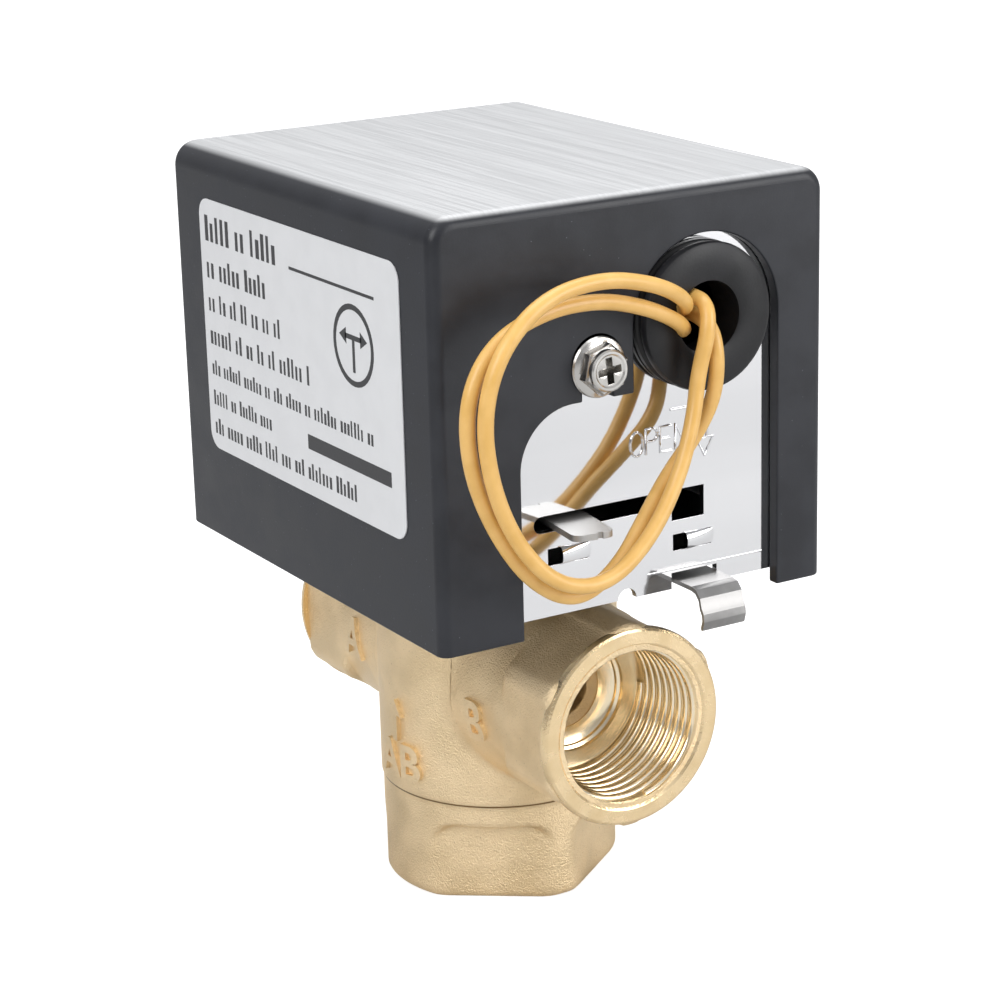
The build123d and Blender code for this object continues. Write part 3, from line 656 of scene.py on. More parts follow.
def absorb(work: bmesh.types.BMesh, part: bmesh.types.BMesh) -> None:
    """Add one bmesh to another.

    Args:
        work: The bmesh that grows.
        part: The bmesh that is added, which is freed.
    """
    carrier = bpy.data.meshes.new("part")
    part.to_mesh(carrier)
    part.free()
    work.from_mesh(carrier)
    bpy.data.meshes.remove(carrier)


def applied(piece: bpy.types.Object) -> None:
    """Apply a piece's modifiers to its mesh.

    Args:
        piece: The piece, which keeps no modifier.
    """
    graph = bpy.context.evaluated_depsgraph_get()
    old = piece.data
    made = bpy.data.meshes.new_from_object(piece.evaluated_get(graph))
    piece.modifiers.clear()
    piece.data = made
    bpy.data.meshes.remove(old)


def mesh_from_curve(name: str, curve: bpy.types.Curve) -> bpy.types.Mesh:
    """Turn a curve or a text into a plain mesh.

    Args:
        name: The name of the object that carries it for the moment.
        curve: The curve or text.

    Returns:
        The mesh, where the curve lies.
    """
    carrier = bpy.data.objects.new(name, curve)
    bpy.context.scene.collection.objects.link(carrier)
    graph = bpy.context.evaluated_depsgraph_get()
    mesh = bpy.data.meshes.new_from_object(carrier.evaluated_get(graph))
    bpy.data.objects.remove(carrier)
    return mesh


def lathe(profile: Profile, steps: int, place: Matrix) -> bmesh.types.BMesh:
    """Turn a closed profile of radius and height about Z, then put it in place.

    Args:
        profile: Points of radius and height in mm.
        steps: How many steps go round.
        place: Where the axis goes, in mm.

    Returns:
        The turned shape in metres, with outward faces.
    """
    work = bmesh.new()
    rings = []
    for step in range(steps):
        angle = 2 * math.pi * step / steps
        cos = math.cos(angle)
        sin = math.sin(angle)
        rings.append(
            [work.verts.new(place @ Vector((r * cos, r * sin, h)) * MM) for r, h in profile]
        )
    count = len(profile)
    for step in range(steps):
        here = rings[step]
        there = rings[(step + 1) % steps]
        for index in range(count):
            other = (index + 1) % count
            work.faces.new((here[index], there[index], there[other], here[other]))
    bmesh.ops.remove_doubles(work, verts=work.verts, dist=1e-7)
    bmesh.ops.recalc_face_normals(work, faces=work.faces)
    return work


def refined(node: str, finish: Finish, bevel: float, segments: int = 2) -> bpy.types.Object:
    """A copy of a CAD node with merged faces, soft edges and a better finish.

    Args:
        node: The node's name.
        finish: What it is finished with.
        bevel: The width of the soft edges in mm.
        segments: How many steps round an edge.

    Returns:
        The new piece.
    """
    work = bmesh.new()
    work.from_mesh(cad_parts[node].data)
    bmesh.ops.remove_doubles(work, verts=work.verts, dist=2e-6)
    bmesh.ops.dissolve_limit(
        work, angle_limit=math.radians(0.6), verts=work.verts, edges=work.edges
    )
    piece = new_piece(f"{node}_finished", mesh_of(node, work, sharp=30.0), finish)
    soften = piece.modifiers.new("soft_edges", "BEVEL")
    soften.width = bevel * MM
    soften.segments = segments
    soften.limit_method = "ANGLE"
    soften.angle_limit = math.radians(32)
    soften.harden_normals = True
    applied(piece)
    return piece


# ---- geometry node trees --------------------------------------------------------------
class ShapeTree:
    """A Geometry Nodes tree with named inputs that ends in plain, finished mesh."""

    def __init__(self, name: str) -> None:
        """Start a tree.

        Args:
            name: What the tree makes.
        """
        self.tree = bpy.data.node_groups.new(name, "GeometryNodeTree")
        self.tree.interface.new_socket(
            "Geometry", in_out="OUTPUT", socket_type="NodeSocketGeometry"
        )
        self.entry = self.tree.nodes.new("NodeGroupInput")
        self.exit = self.tree.nodes.new("NodeGroupOutput")
        self.sockets: dict[str, str] = {}

    def opening(self, name: str, kind: str) -> bpy.types.NodeSocket:
        """Add a named input.

        Args:
            name: The input's name.
            kind: Float or Material.

        Returns:
            The socket inside the tree.
        """
        made = self.tree.interface.new_socket(
            name, in_out="INPUT", socket_type=f"NodeSocket{kind}"
        )
        self.sockets[name] = made.identifier
        return self.entry.outputs[name]

    def node(self, kind: str, **values: object) -> bpy.types.Node:
        """Add a node and set its properties.

        Args:
            kind: The node's type.
            values: Its properties by name.

        Returns:
            The node.
        """
        made = self.tree.nodes.new(kind)
        for key, value in values.items():
            setattr(made, key, value)
        return made

    def link(self, source: bpy.types.NodeSocket, target: bpy.types.NodeSocket) -> None:
        """Join two sockets."""
        self.tree.links.new(source, target)

    def close(self, shape: bpy.types.NodeSocket, finish: bpy.types.NodeSocket) -> None:
        """End the tree in Realize Instances and Set Material.

        Args:
            shape: The finished shape's socket.
            finish: The material's socket.
        """
        real = self.node("GeometryNodeRealizeInstances")
        paint = self.node("GeometryNodeSetMaterial")
        self.link(shape, real.inputs[0])
        self.link(real.outputs[0], paint.inputs["Geometry"])
        self.link(finish, paint.inputs["Material"])
        self.link(paint.outputs[0], self.exit.inputs[0])

    def make(self, name: str, finish: Finish, **values: object) -> bpy.types.Object:
        """Run the tree once and keep what it makes as a plain piece.

        Args:
            name: The piece's name.
            finish: What it is finished with.
            values: The tree's inputs, with spaces as underscores.

        Returns:
            The new piece, with no modifier left on it.
        """
        carrier = new_piece(name, bpy.data.meshes.new(name), finish)
        modifier = carrier.modifiers.new("shape", "NODES")
        modifier.node_group = self.tree
        modifier[self.sockets["Finish"]] = dressed(finish)
        for key, value in values.items():
            modifier[self.sockets[key.replace("_", " ")]] = value
        applied(carrier)
        return carrier


THREAD_STEPS = 80
THREAD_SIDES = 6


def thread_tree() -> ShapeTree:
    """A tapering helical ridge about Z, as a pipe thread has.

    Returns:
        The tree, with inputs Radius, End Radius, Turns, Length, Ridge, Finish.
    """
    shape = ShapeTree("pipe_thread_ridge")
    radius = shape.opening("Radius", "Float")
    end_radius = shape.opening("End Radius", "Float")
    turns = shape.opening("Turns", "Float")
    length = shape.opening("Length", "Float")
    ridge = shape.opening("Ridge", "Float")
    finish = shape.opening("Finish", "Material")
    spiral = shape.node("GeometryNodeCurveSpiral")
    spiral.inputs["Resolution"].default_value = THREAD_STEPS
    shape.link(turns, spiral.inputs["Rotations"])
    shape.link(radius, spiral.inputs["Start Radius"])
    shape.link(end_radius, spiral.inputs["End Radius"])
    shape.link(length, spiral.inputs["Height"])
    upright = shape.node("GeometryNodeSetCurveNormal", mode="Z_UP")
    profile = shape.node("GeometryNodeCurvePrimitiveCircle", mode="RADIUS")
    profile.inputs["Resolution"].default_value = THREAD_SIDES
    sweep = shape.node("GeometryNodeCurveToMesh")
    sweep.inputs["Fill Caps"].default_value = True
    shape.link(spiral.outputs[0], upright.inputs["Curve"])
    shape.link(ridge, profile.inputs["Radius"])
    shape.link(upright.outputs[0], sweep.inputs["Curve"])
    shape.link(profile.outputs[0], sweep.inputs["Profile Curve"])
    shape.close(sweep.outputs[0], finish)
    return shape


# ---- brass body -----------------------------------------------------------------------
def soft_union(first: np.ndarray, second: np.ndarray, blend: float) -> np.ndarray:
    """Join two distance fields with a fillet of about the blend's size."""
    reach = np.maximum(blend - np.abs(first - second), 0.0) / blend
    return np.minimum(first, second) - reach * reach * blend / 4


def soft_cut(first: np.ndarray, second: np.ndarray, blend: float) -> np.ndarray:
    """Keep what lies in both fields, with a rounded edge."""
    return -soft_union(-first, -second, blend)


@dataclass(frozen=True)
class Port:
    """One threaded port: its axis, sizes and inside, with its ring face at height 0, in mm."""

    name: str
    place: Matrix
    ring_r: float
    depth: float
    inner: Profile


@dataclass
class ValveCasting:
    """The sand-cast tee with its three threaded ports. Sizes are in mm."""

    neck_r: float = 15.0
    flare: float = 1.4
    flare_from: float = 25.0
    flare_run: float = 13.0
    flare_end: float = 25.9
    collar_r: float = 16.3
    collar_edge_r: float = 16.95
    across_flats: float = 30.5
    collar_from: float = 26.5
    collar_to: float = 40.5
    rib_half: float = 2.9
    rib_foot: float = 8.0
    rib_top: float = 15.7
    rib_middle: float = 30.2
    rib_reach: float = 9.9
    foot_flat: float = 17.1
    foot_height: float = 13.4
    foot_half: float = 5.5
    foot_sag: float = 0.14
    seam_height: float = 17.4
    seam_step: float = 0.3
    thread_r: float = 12.45
    thread_back_r: float = 12.95
    mouth_r: float = 12.55
    mouth_depth: float = 0.95
    pitch: float = 1.814
    ridge_r: float = 0.72
    voxel: float = 0.62
    liner_r: float = 13.6
    liner_from: float = 21.2
    letter_depth: float = 0.7
    letter_root: float = 0.3
    letter_type: float = 1.42  # the type's size for letters 1 mm high
    letter_swell: float = 0.22
    turn_steps: int = 144
    foot_bearings: tuple[int, ...] = (54, 126, 234, 306)
    collar_bearings: tuple[int, ...] = (0, 60, 120)

    def barrel(self, p: np.ndarray) -> np.ndarray:
        """Distance to the upright barrel with its wrench flats.

        Args:
            p: Points in mm, one in each row.

        Returns:
            One distance in mm for each point.
        """
        radius = np.hypot(p[:, 0], p[:, 1])
        step = self.seam_step / (1 + np.exp(-(p[:, 2] - self.seam_height) / 0.12))
        side = radius - (BARREL_R - self.seam_step + step)
        body = soft_cut(side, np.abs(p[:, 2] - BARREL_TOP / 2) - BARREL_TOP / 2, 1.6)
        for bearing in self.foot_bearings:
            angle = math.radians(bearing)
            along = p[:, 0] * math.cos(angle) + p[:, 1] * math.sin(angle)
            across = -p[:, 0] * math.sin(angle) + p[:, 1] * math.cos(angle)
            rounded = np.maximum(np.abs(across) - self.foot_half, 0.0)
            top = p[:, 2] - self.foot_height + self.foot_sag * rounded * rounded
            flat = soft_cut(self.foot_flat - along, top, 0.8)
            body = soft_cut(body, -flat, 0.8)
        return body

    def collar(self, p: np.ndarray) -> np.ndarray:
        """Distance to the two flatted collars behind the port rings.

        Args:
            p: Points in mm, one in each row.

        Returns:
            One distance in mm for each point.
        """
        y = np.abs(p[:, 1])
        z = p[:, 2] - RUN_HEIGHT
        shape = np.hypot(p[:, 0], z) - self.collar_edge_r
        for bearing in self.collar_bearings:
            angle = math.radians(bearing)
            away = np.abs(p[:, 0] * math.cos(angle) + z * math.sin(angle))
            shape = soft_cut(shape, away - self.across_flats / 2, 0.2)
        middle = (self.collar_from + self.collar_to) / 2
        half = (self.collar_to - self.collar_from) / 2
        return soft_cut(shape, np.abs(y - middle) - half, 1.2)

    def distance(self, p: np.ndarray) -> np.ndarray:
        """Signed distance to the outside of the casting.

        Args:
            p: Points in mm, one in each row.

        Returns:
            One distance in mm for each point.
        """
        y = np.abs(p[:, 1])
        z = p[:, 2] - RUN_HEIGHT
        neck = soft_cut(np.hypot(p[:, 0], z) - self.neck_r, y - self.collar_to, 1.0)
        near = np.clip((self.flare_from - y) / self.flare_run, 0.0, 1.0)
        flare_r = self.neck_r + self.flare * near * near * (3 - 2 * near)
        flare = soft_cut(np.hypot(p[:, 0], z) - flare_r, y - self.flare_end, 1.6)
        body = soft_union(self.barrel(p), soft_union(neck, flare, 3.0), 1.3)
        body = soft_union(body, self.collar(p), 0.8)
        rib = np.maximum(np.abs(p[:, 0]) - self.rib_half, z - self.rib_top)
        ends = np.maximum(self.rib_foot - z, np.abs(y - self.rib_middle) - self.rib_reach)
        rib = soft_cut(rib, ends, 0.8)
        body = soft_union(body, rib, 1.6)
        deck = np.maximum(BARREL_TOP - p[:, 2], np.hypot(p[:, 0], p[:, 1]) - 20.0)
        return soft_cut(body, -deck, 0.6)

    def slope(self, p: np.ndarray) -> np.ndarray:
        """The outward direction of the surface at each point.

        Args:
            p: Points in mm, one in each row.

        Returns:
            One direction for each point, about 1 long near the surface.
        """
        step = 0.05
        parts = []
        for axis in range(3):
            shift = np.zeros(3)
            shift[axis] = step
            parts.append((self.distance(p + shift) - self.distance(p - shift)) / (2 * step))
        return np.stack(parts, axis=1)

    def onto_surface(self, p: np.ndarray) -> np.ndarray:
        """Move points to the nearest place on the outside.

        Args:
            p: Points in mm, one in each row.

        Returns:
            The moved points.
        """
        for _ in range(4):
            slope = self.slope(p)
            scale = np.maximum((slope * slope).sum(axis=1), 0.05)
            p = p - slope * (self.distance(p) / scale)[:, None]
        return p

    def opened(self, p: np.ndarray) -> np.ndarray:
        """Move the walls of the side ports outwards, behind their machined insides.

        Args:
            p: Points in mm, one in each row.

        Returns:
            The moved points.
        """
        offset = p[:, [0, 2]] - np.array([0.0, RUN_HEIGHT])
        radius = np.maximum(np.linalg.norm(offset, axis=1), 1e-6)
        inside = (np.abs(p[:, 1]) > self.liner_from) & (radius < self.liner_r)
        moved = p.copy()
        moved[:, 0] = offset[:, 0] * self.liner_r / radius
        moved[:, 2] = RUN_HEIGHT + offset[:, 1] * self.liner_r / radius
        return np.where(inside[:, None], moved, p)

    def skin(self) -> bpy.types.Object:
        """The casting's outside, with soft fillets in place of the plain joints.

        Returns:
            The piece.
        """
        work = bmesh.new()
        work.from_mesh(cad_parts["valve_body"].data)
        bmesh.ops.remove_doubles(work, verts=work.verts, dist=1e-6)
        piece = new_piece("valve_casting", mesh_of("valve_casting", work), BRASS_CAST)
        remesh = piece.modifiers.new("even_mesh", "REMESH")
        remesh.mode = "VOXEL"
        remesh.voxel_size = self.voxel * MM
        applied(piece)
        mesh = piece.data
        flat = np.empty(len(mesh.vertices) * 3)
        mesh.vertices.foreach_get("co", flat)
        points = flat.reshape(-1, 3) / MM
        near = self.distance(points) > -1.3
        points[near] = self.onto_surface(points[near])
        points = np.where(near[:, None], points, self.opened(points))
        mesh.vertices.foreach_set("co", (points * MM).reshape(-1))
        for polygon in mesh.polygons:
            polygon.use_smooth = True
        mesh.materials.clear()
        mesh.materials.append(dressed(BRASS_CAST))
        mesh.update()
        return piece

    def raised(self, text: str, height: float, y: float, z: float) -> bmesh.types.BMesh:
        """Letters cast proud of the -X side, wrapped on the surface.

        Args:
            text: The port's letters.
            height: The letters' height in mm.
            y: Where their middle is in mm.
            z: Where their foot is in mm.

        Returns:
            The letters in metres.
        """
        curve = bpy.data.curves.new("mark", "FONT")
        curve.body = text
        curve.size = height * self.letter_type
        curve.align_x = "CENTER"
        curve.offset = self.letter_swell
        flat = mesh_from_curve("mark", curve)
        work = bmesh.new()
        work.from_mesh(flat)
        bpy.data.meshes.remove(flat)
        return self.wrapped(work, y, z)

    def arrow(self, length: float, y: float, z: float) -> bmesh.types.BMesh:
        """The flow arrow cast above the common port's letters.

        Args:
            length: Its length in mm.
            y: Where its middle is in mm.
            z: Where its foot is in mm.

        Returns:
            The arrow in metres.
        """
        stem = 0.6
        barb = 1.7
        neck = length - 2.6
        outline = [(-stem, 0), (stem, 0), (stem, neck), (barb, neck - 0.3), (0, length),
                   (-barb, neck - 0.3), (-stem, neck)]
        work = bmesh.new()
        work.faces.new([work.verts.new((a, b, 0)) for a, b in outline])
        return self.wrapped(work, y, z)

    def wrapped(self, work: bmesh.types.BMesh, y: float, z: float) -> bmesh.types.BMesh:
        """Lay a flat mark on the surface, reading from the -X side, and raise it.

        Args:
            work: The mark in mm, in the XY plane.
            y: Where its middle goes in mm.
            z: Where its foot goes in mm.

        Returns:
            The raised mark in metres.
        """
        bmesh.ops.remove_doubles(work, verts=work.verts, dist=1e-3)
        bmesh.ops.triangulate(work, faces=work.faces)
        bmesh.ops.subdivide_edges(work, edges=work.edges, cuts=2, use_grid_fill=True)
        ahead = np.array([-1.0, 0.0, 0.0])
        across = np.array([0.0, -1.0, 0.0])
        upward = np.array([0.0, 0.0, 1.0])
        start = 30 * ahead
        approach = 0.8
        flat = np.array([vert.co for vert in work.verts])
        feet = np.array([0.0, y, z]) + flat[:, :1] * across + flat[:, 1:2] * upward + start
        for _ in range(40):
            feet = feet - ahead * (approach * self.distance(feet))[:, None]
        outward = self.slope(feet)
        outward /= np.linalg.norm(outward, axis=1)[:, None]
        directions = {}
        for vert, foot, out in zip(work.verts, feet, outward):
            vert.co = Vector((foot - out * self.letter_root) * MM)
            directions[tuple(round(c, 7) for c in vert.co)] = Vector(out)
        made = bmesh.ops.extrude_face_region(work, geom=list(work.faces))
        for item in made["geom"]:
            if isinstance(item, bmesh.types.BMVert):
                out = directions[tuple(round(c, 7) for c in item.co)]
                item.co += out * (self.letter_root + self.letter_depth) * MM
        bmesh.ops.recalc_face_normals(work, faces=work.faces)
        return work

    def marks(self) -> bpy.types.Object:
        """The port letters and the flow arrow, in one piece.

        Returns:
            The piece.
        """
        whole = bmesh.new()
        marks = [
            self.raised("AB", 6.0, -1.6, 20.2),
            self.arrow(7.2, -1.2, 26.4),
            self.raised("B", 6.4, -19.5, 31.6),
            self.raised("A", 6.4, 21.0, 34.0),
        ]
        for mark in marks:
            absorb(whole, mark)
        piece = new_piece("port_marks", mesh_of("port_marks", whole, sharp=50.0), BRASS_CAST)
        soften = piece.modifiers.new("soft_edges", "BEVEL")
        soften.width = 0.16 * MM
        soften.segments = 2
        applied(piece)
        return piece

    def ring(self, port: Port) -> bpy.types.Object:
        """The faced ring round one port's mouth.

        Args:
            port: The port.

        Returns:
            The piece.
        """
        edge = port.ring_r
        profile = [
            (edge, -1.3), (edge, -0.7), (edge - 0.2, -0.22), (edge - 0.6, 0.0), (13.75, 0.0),
            (13.6, -0.08), (self.mouth_r, -self.mouth_depth), (12.9, -1.3),
        ]
        work = lathe(profile, self.turn_steps, port.place)
        name = f"{port.name}_ring"
        return new_piece(name, mesh_of(name, work, sharp=25.0), BRASS_FACED)

    def bore(self, port: Port) -> bpy.types.Object:
        """The machined inside of one port, from its mouth to its inner bore.

        Args:
            port: The port.

        Returns:
            The piece.
        """
        last_r, last_h = port.inner[-1]
        profile = [
            (self.mouth_r, -self.mouth_depth), (self.thread_r + 0.05, -port.depth), *port.inner,
            (last_r + 0.6, last_h), (self.thread_back_r, -port.depth), (self.thread_back_r, -1.6),
        ]
        work = lathe(profile, self.turn_steps, port.place)
        name = f"{port.name}_bore"
        return new_piece(name, mesh_of(name, work, sharp=25.0), BRASS_MACHINED)

    def ridge(self, tree: ShapeTree, port: Port) -> bpy.types.Object:
        """One port's thread ridge.

        Args:
            tree: The thread's tree.
            port: The port.

        Returns:
            The piece.
        """
        run = port.depth - 1.6
        piece = tree.make(
            f"{port.name}_thread", BRASS_MACHINED, Radius=(self.thread_r + 0.06) * MM,
            End_Radius=(self.thread_r + 0.28) * MM, Turns=run / self.pitch, Length=run * MM,
            Ridge=self.ridge_r * MM,
        )
        lift = Matrix.Translation(Vector((0, 0, -port.depth + 0.3)) * MM)
        metres = port.place.copy()
        metres.translation = port.place.translation * MM
        piece.data.transform(metres @ lift)
        for polygon in piece.data.polygons:
            polygon.use_smooth = True
        return piece

    def ports(self) -> list[Port]:
        """The two side ports and the common one below.

        Returns:
            The ports, with each axis pointing outwards.
        """
        side = [
            (11.6, -16.8), (9.5, -17.1), (9.5, -18.0), (9.0, -18.2), (9.0, -18.9), (8.6, -19.1),
            (6.9, -19.35), (6.4, -19.8), (6.2, -20.9), (4.9, -21.1), (4.6, -21.5), (4.6, -26.0),
        ]
        foot = [(11.4, -14.2), (9.5, -15.2), (9.5, -24.0)]
        quarter = math.pi / 2
        port_a = Matrix.Translation((0, RUN_HALF, RUN_HEIGHT)) @ Matrix.Rotation(-quarter, 4, "X")
        port_b = Matrix.Translation((0, -RUN_HALF, RUN_HEIGHT)) @ Matrix.Rotation(quarter, 4, "X")
        return [
            Port("port_a", port_a, self.collar_r, 16.5, side),
            Port("port_b", port_b, self.collar_r, 16.5, side),
            Port("port_ab", Matrix.Rotation(math.pi, 4, "X"), 15.6, 13.8, foot),
        ]

    def build(self) -> None:
        """Make the casting, its marks and its three ports."""
        settle(self.skin(), Body.FIXED, Slot.CAST_BRASS, "valve_body")
        settle(self.marks(), Body.FIXED, Slot.CAST_BRASS)
        tree = thread_tree()
        for port in self.ports():
            for piece in (self.ring(port), self.bore(port), self.ridge(tree, port)):
                settle(piece, Body.FIXED, Slot.CAST_BRASS)


# ---- power head -----------------------------------------------------------------------
def stroke_mesh(
    name: str, strokes: Sequence[Stroke], radius: float, y: float
) -> bpy.types.Mesh:
    """Round strokes in an upright plane, as pressed in a sheet.

    Args:
        name: The mesh's name.
        strokes: Each stroke's points as X and Z in mm, and whether it closes.
        radius: Half the stroke's width in mm.
        y: Where the strokes' middle lies in mm.

    Returns:
        The mesh, in metres.
    """
    curve = bpy.data.curves.new(name, "CURVE")
    curve.dimensions = "3D"
    curve.bevel_depth = radius * MM
    curve.bevel_resolution = 2
    curve.use_fill_caps = True
    for points, closed in strokes:
        spline = curve.splines.new("POLY")
        spline.points.add(len(points) - 1)
        for control, (x, z) in zip(spline.points, points):
            control.co = (x * MM, y * MM, z * MM, 1.0)
        spline.use_cyclic_u = closed
    mesh = mesh_from_curve(name, curve)
    for polygon in mesh.polygons:
        polygon.use_smooth = True
    return mesh


def arc(x: float, z: float, a: float, b: float, start: int, end: int) -> Profile:
    """Points on an ellipse about a centre, in steps of 15 degrees.

    Args:
        x: The centre's X in mm.
        z: The centre's Z in mm.
        a: The half width in mm.
        b: The half height in mm.
        start: Where it starts, in degrees.
        end: Where it ends, in degrees.

    Returns:
        The points as X and Z.
    """
    step = 15 if end > start else -15
    turns = [math.radians(turn) for turn in range(start, end + step, step)]
    return [(x + a * math.cos(turn), z + b * math.sin(turn)) for turn in turns]


@dataclass
class FrontPlate:
    """The bright plate behind the cover's cut-out, with its pressed marks. Sizes in mm."""

    stroke: float = 0.2
    proud: float = 0.07
    bead_r: float = 0.42
    bead_sunk: float = 0.36
    louvre_proud: float = 1.05
    louvre_half: float = 1.42
    louvre_length: float = 5.6
    sheet: float = 0.34

    def word(self) -> bpy.types.Object:
        """The pressed letters that say which way the lever opens the valve.

        Returns:
            The piece.
        """
        low = 80.7
        mid = 82.8
        high = 84.7
        strokes = [
            (arc(1.2, 82.6, 1.15, 1.9, 0, 345), True),
            ([(2.9, low), (2.9, high)] + arc(4.0, 83.7, 1.0, 1.0, 90, -90) + [(2.9, 82.7)], False),
            ([(7.6, low), (5.5, low), (5.5, high), (7.6, high)], False),
            ([(5.5, mid), (7.2, mid)], False),
            ([(8.3, low), (8.3, high), (10.4, low), (10.4, high)], False),
        ]
        mesh = stroke_mesh("open_word", strokes, self.stroke, FRONT_Y - self.proud)
        return new_piece("open_word", mesh, BRIGHT)

    def arrow(self) -> bpy.types.Object:
        """The pressed arrow that turns down beside the letters.

        Returns:
            The piece.
        """
        strokes = [
            ([(7.4, 87.1), (13.6, 87.1)], False),
            ([(13.3, 86.6), (13.3, 81.9)], False),
            ([(14.2, 86.6), (14.2, 81.9)], False),
            ([(12.2, 81.7), (15.3, 81.7), (13.7, 78.9)], True),
        ]
        mesh = stroke_mesh("open_arrow", strokes, self.stroke, FRONT_Y - self.proud)
        return new_piece("open_arrow", mesh, BRIGHT)

    def bead(self) -> bpy.types.Object:
        """The low pressed bead over the latch window.

        Returns:
            The piece.
        """
        line = [([(3.0, 61.4), (25.4, 61.3)], False)]
        mesh = stroke_mesh("plate_bead", line, self.bead_r, FRONT_Y + self.bead_sunk)
        return new_piece("plate_bead", mesh, BRIGHT)

    def louvre(self, name: str, x: float, z: float) -> bpy.types.Object:
        """A lanced tongue, open and proud at its left end and fading to the right.

        Args:
            name: The piece's name.
            x: Where its open end is in mm.
            z: The height of its middle in mm.

        Returns:
            The piece.
        """
        steps = 14
        around = 16
        work = bmesh.new()
        outer = []
        inner = []
        for step in range(steps + 1):
            along = step / steps
            reach = self.louvre_proud * (1 - along) ** 0.75 + 0.02
            half = self.louvre_half - 0.25 * along
            row = []
            for turn in range(around + 1):
                angle = math.pi * turn / around
                y = FRONT_Y + 0.05 - math.sin(angle) ** 0.8 * reach
                row.append(Vector((x + self.louvre_length * along, y, z + half * math.cos(angle))))
            outer.append([work.verts.new(point * MM) for point in row])
            inward = Vector((0.0, self.sheet, 0.0))
            inner.append([work.verts.new((point + inward) * MM) for point in row])
        for side in (outer, inner):
            for step in range(steps):
                for turn in range(around):
                    work.faces.new((side[step][turn], side[step + 1][turn],
                                    side[step + 1][turn + 1], side[step][turn + 1]))
        for step in range(steps):
            for turn in (0, around):
                work.faces.new((outer[step][turn], outer[step + 1][turn],
                                inner[step + 1][turn], inner[step][turn]))
        for turn in range(around):
            for step in (0, steps):
                work.faces.new((outer[step][turn], outer[step][turn + 1],
                                inner[step][turn + 1], inner[step][turn]))
        bmesh.ops.recalc_face_normals(work, faces=work.faces)
        return new_piece(name, mesh_of(name, work, sharp=50.0), BRIGHT)

    def build(self) -> None:
        """Make the plate and its marks."""
        settle(refined("front_plate", BRIGHT, bevel=0.14), Body.FIXED, Slot.PLATE, "front_plate")
        extras = (
            self.word(), self.arrow(), self.bead(),
            self.louvre("left_louvre", -12.9, 67.6), self.louvre("right_louvre", 9.9, 65.7),
        )
        for piece in extras:
            settle(piece, Body.FIXED, Slot.PLATE)


@dataclass
class Grommet:
    """The rubber bush that the leads pass through."""

    x: float = 11.9
    z: float = 101.7
    bore_r: float = 5.6

    def build(self) -> None:
        """Turn the bush about its bore, with a groove round its rim and one for the plate."""
        profile = [
            (self.bore_r, 4.0), (6.1, 4.2), (10.7, 4.2), (11.3, 3.9), (11.48, 3.3), (11.4, 2.5),
            (11.0, 2.15), (10.5, 2.05), (10.4, 1.75), (10.5, 1.45), (11.1, 1.35), (11.45, 1.0),
            (11.48, 0.3), (11.2, 0.02), (9.15, 0.0), (9.15, -1.2), (10.7, -1.25), (10.9, -1.6),
            (10.8, -3.0), (10.2, -3.35), (6.0, -3.4),
        ]
        place = Matrix.Translation((self.x, FRONT_Y, self.z)) @ Matrix.Rotation(math.pi / 2, 4, "X")
        work = lathe(profile, 96, place)
        piece = new_piece("grommet_bush", mesh_of("grommet_bush", work, sharp=40.0), RUBBER)
        settle(piece, Body.FIXED, Slot.RUBBER, "grommet")


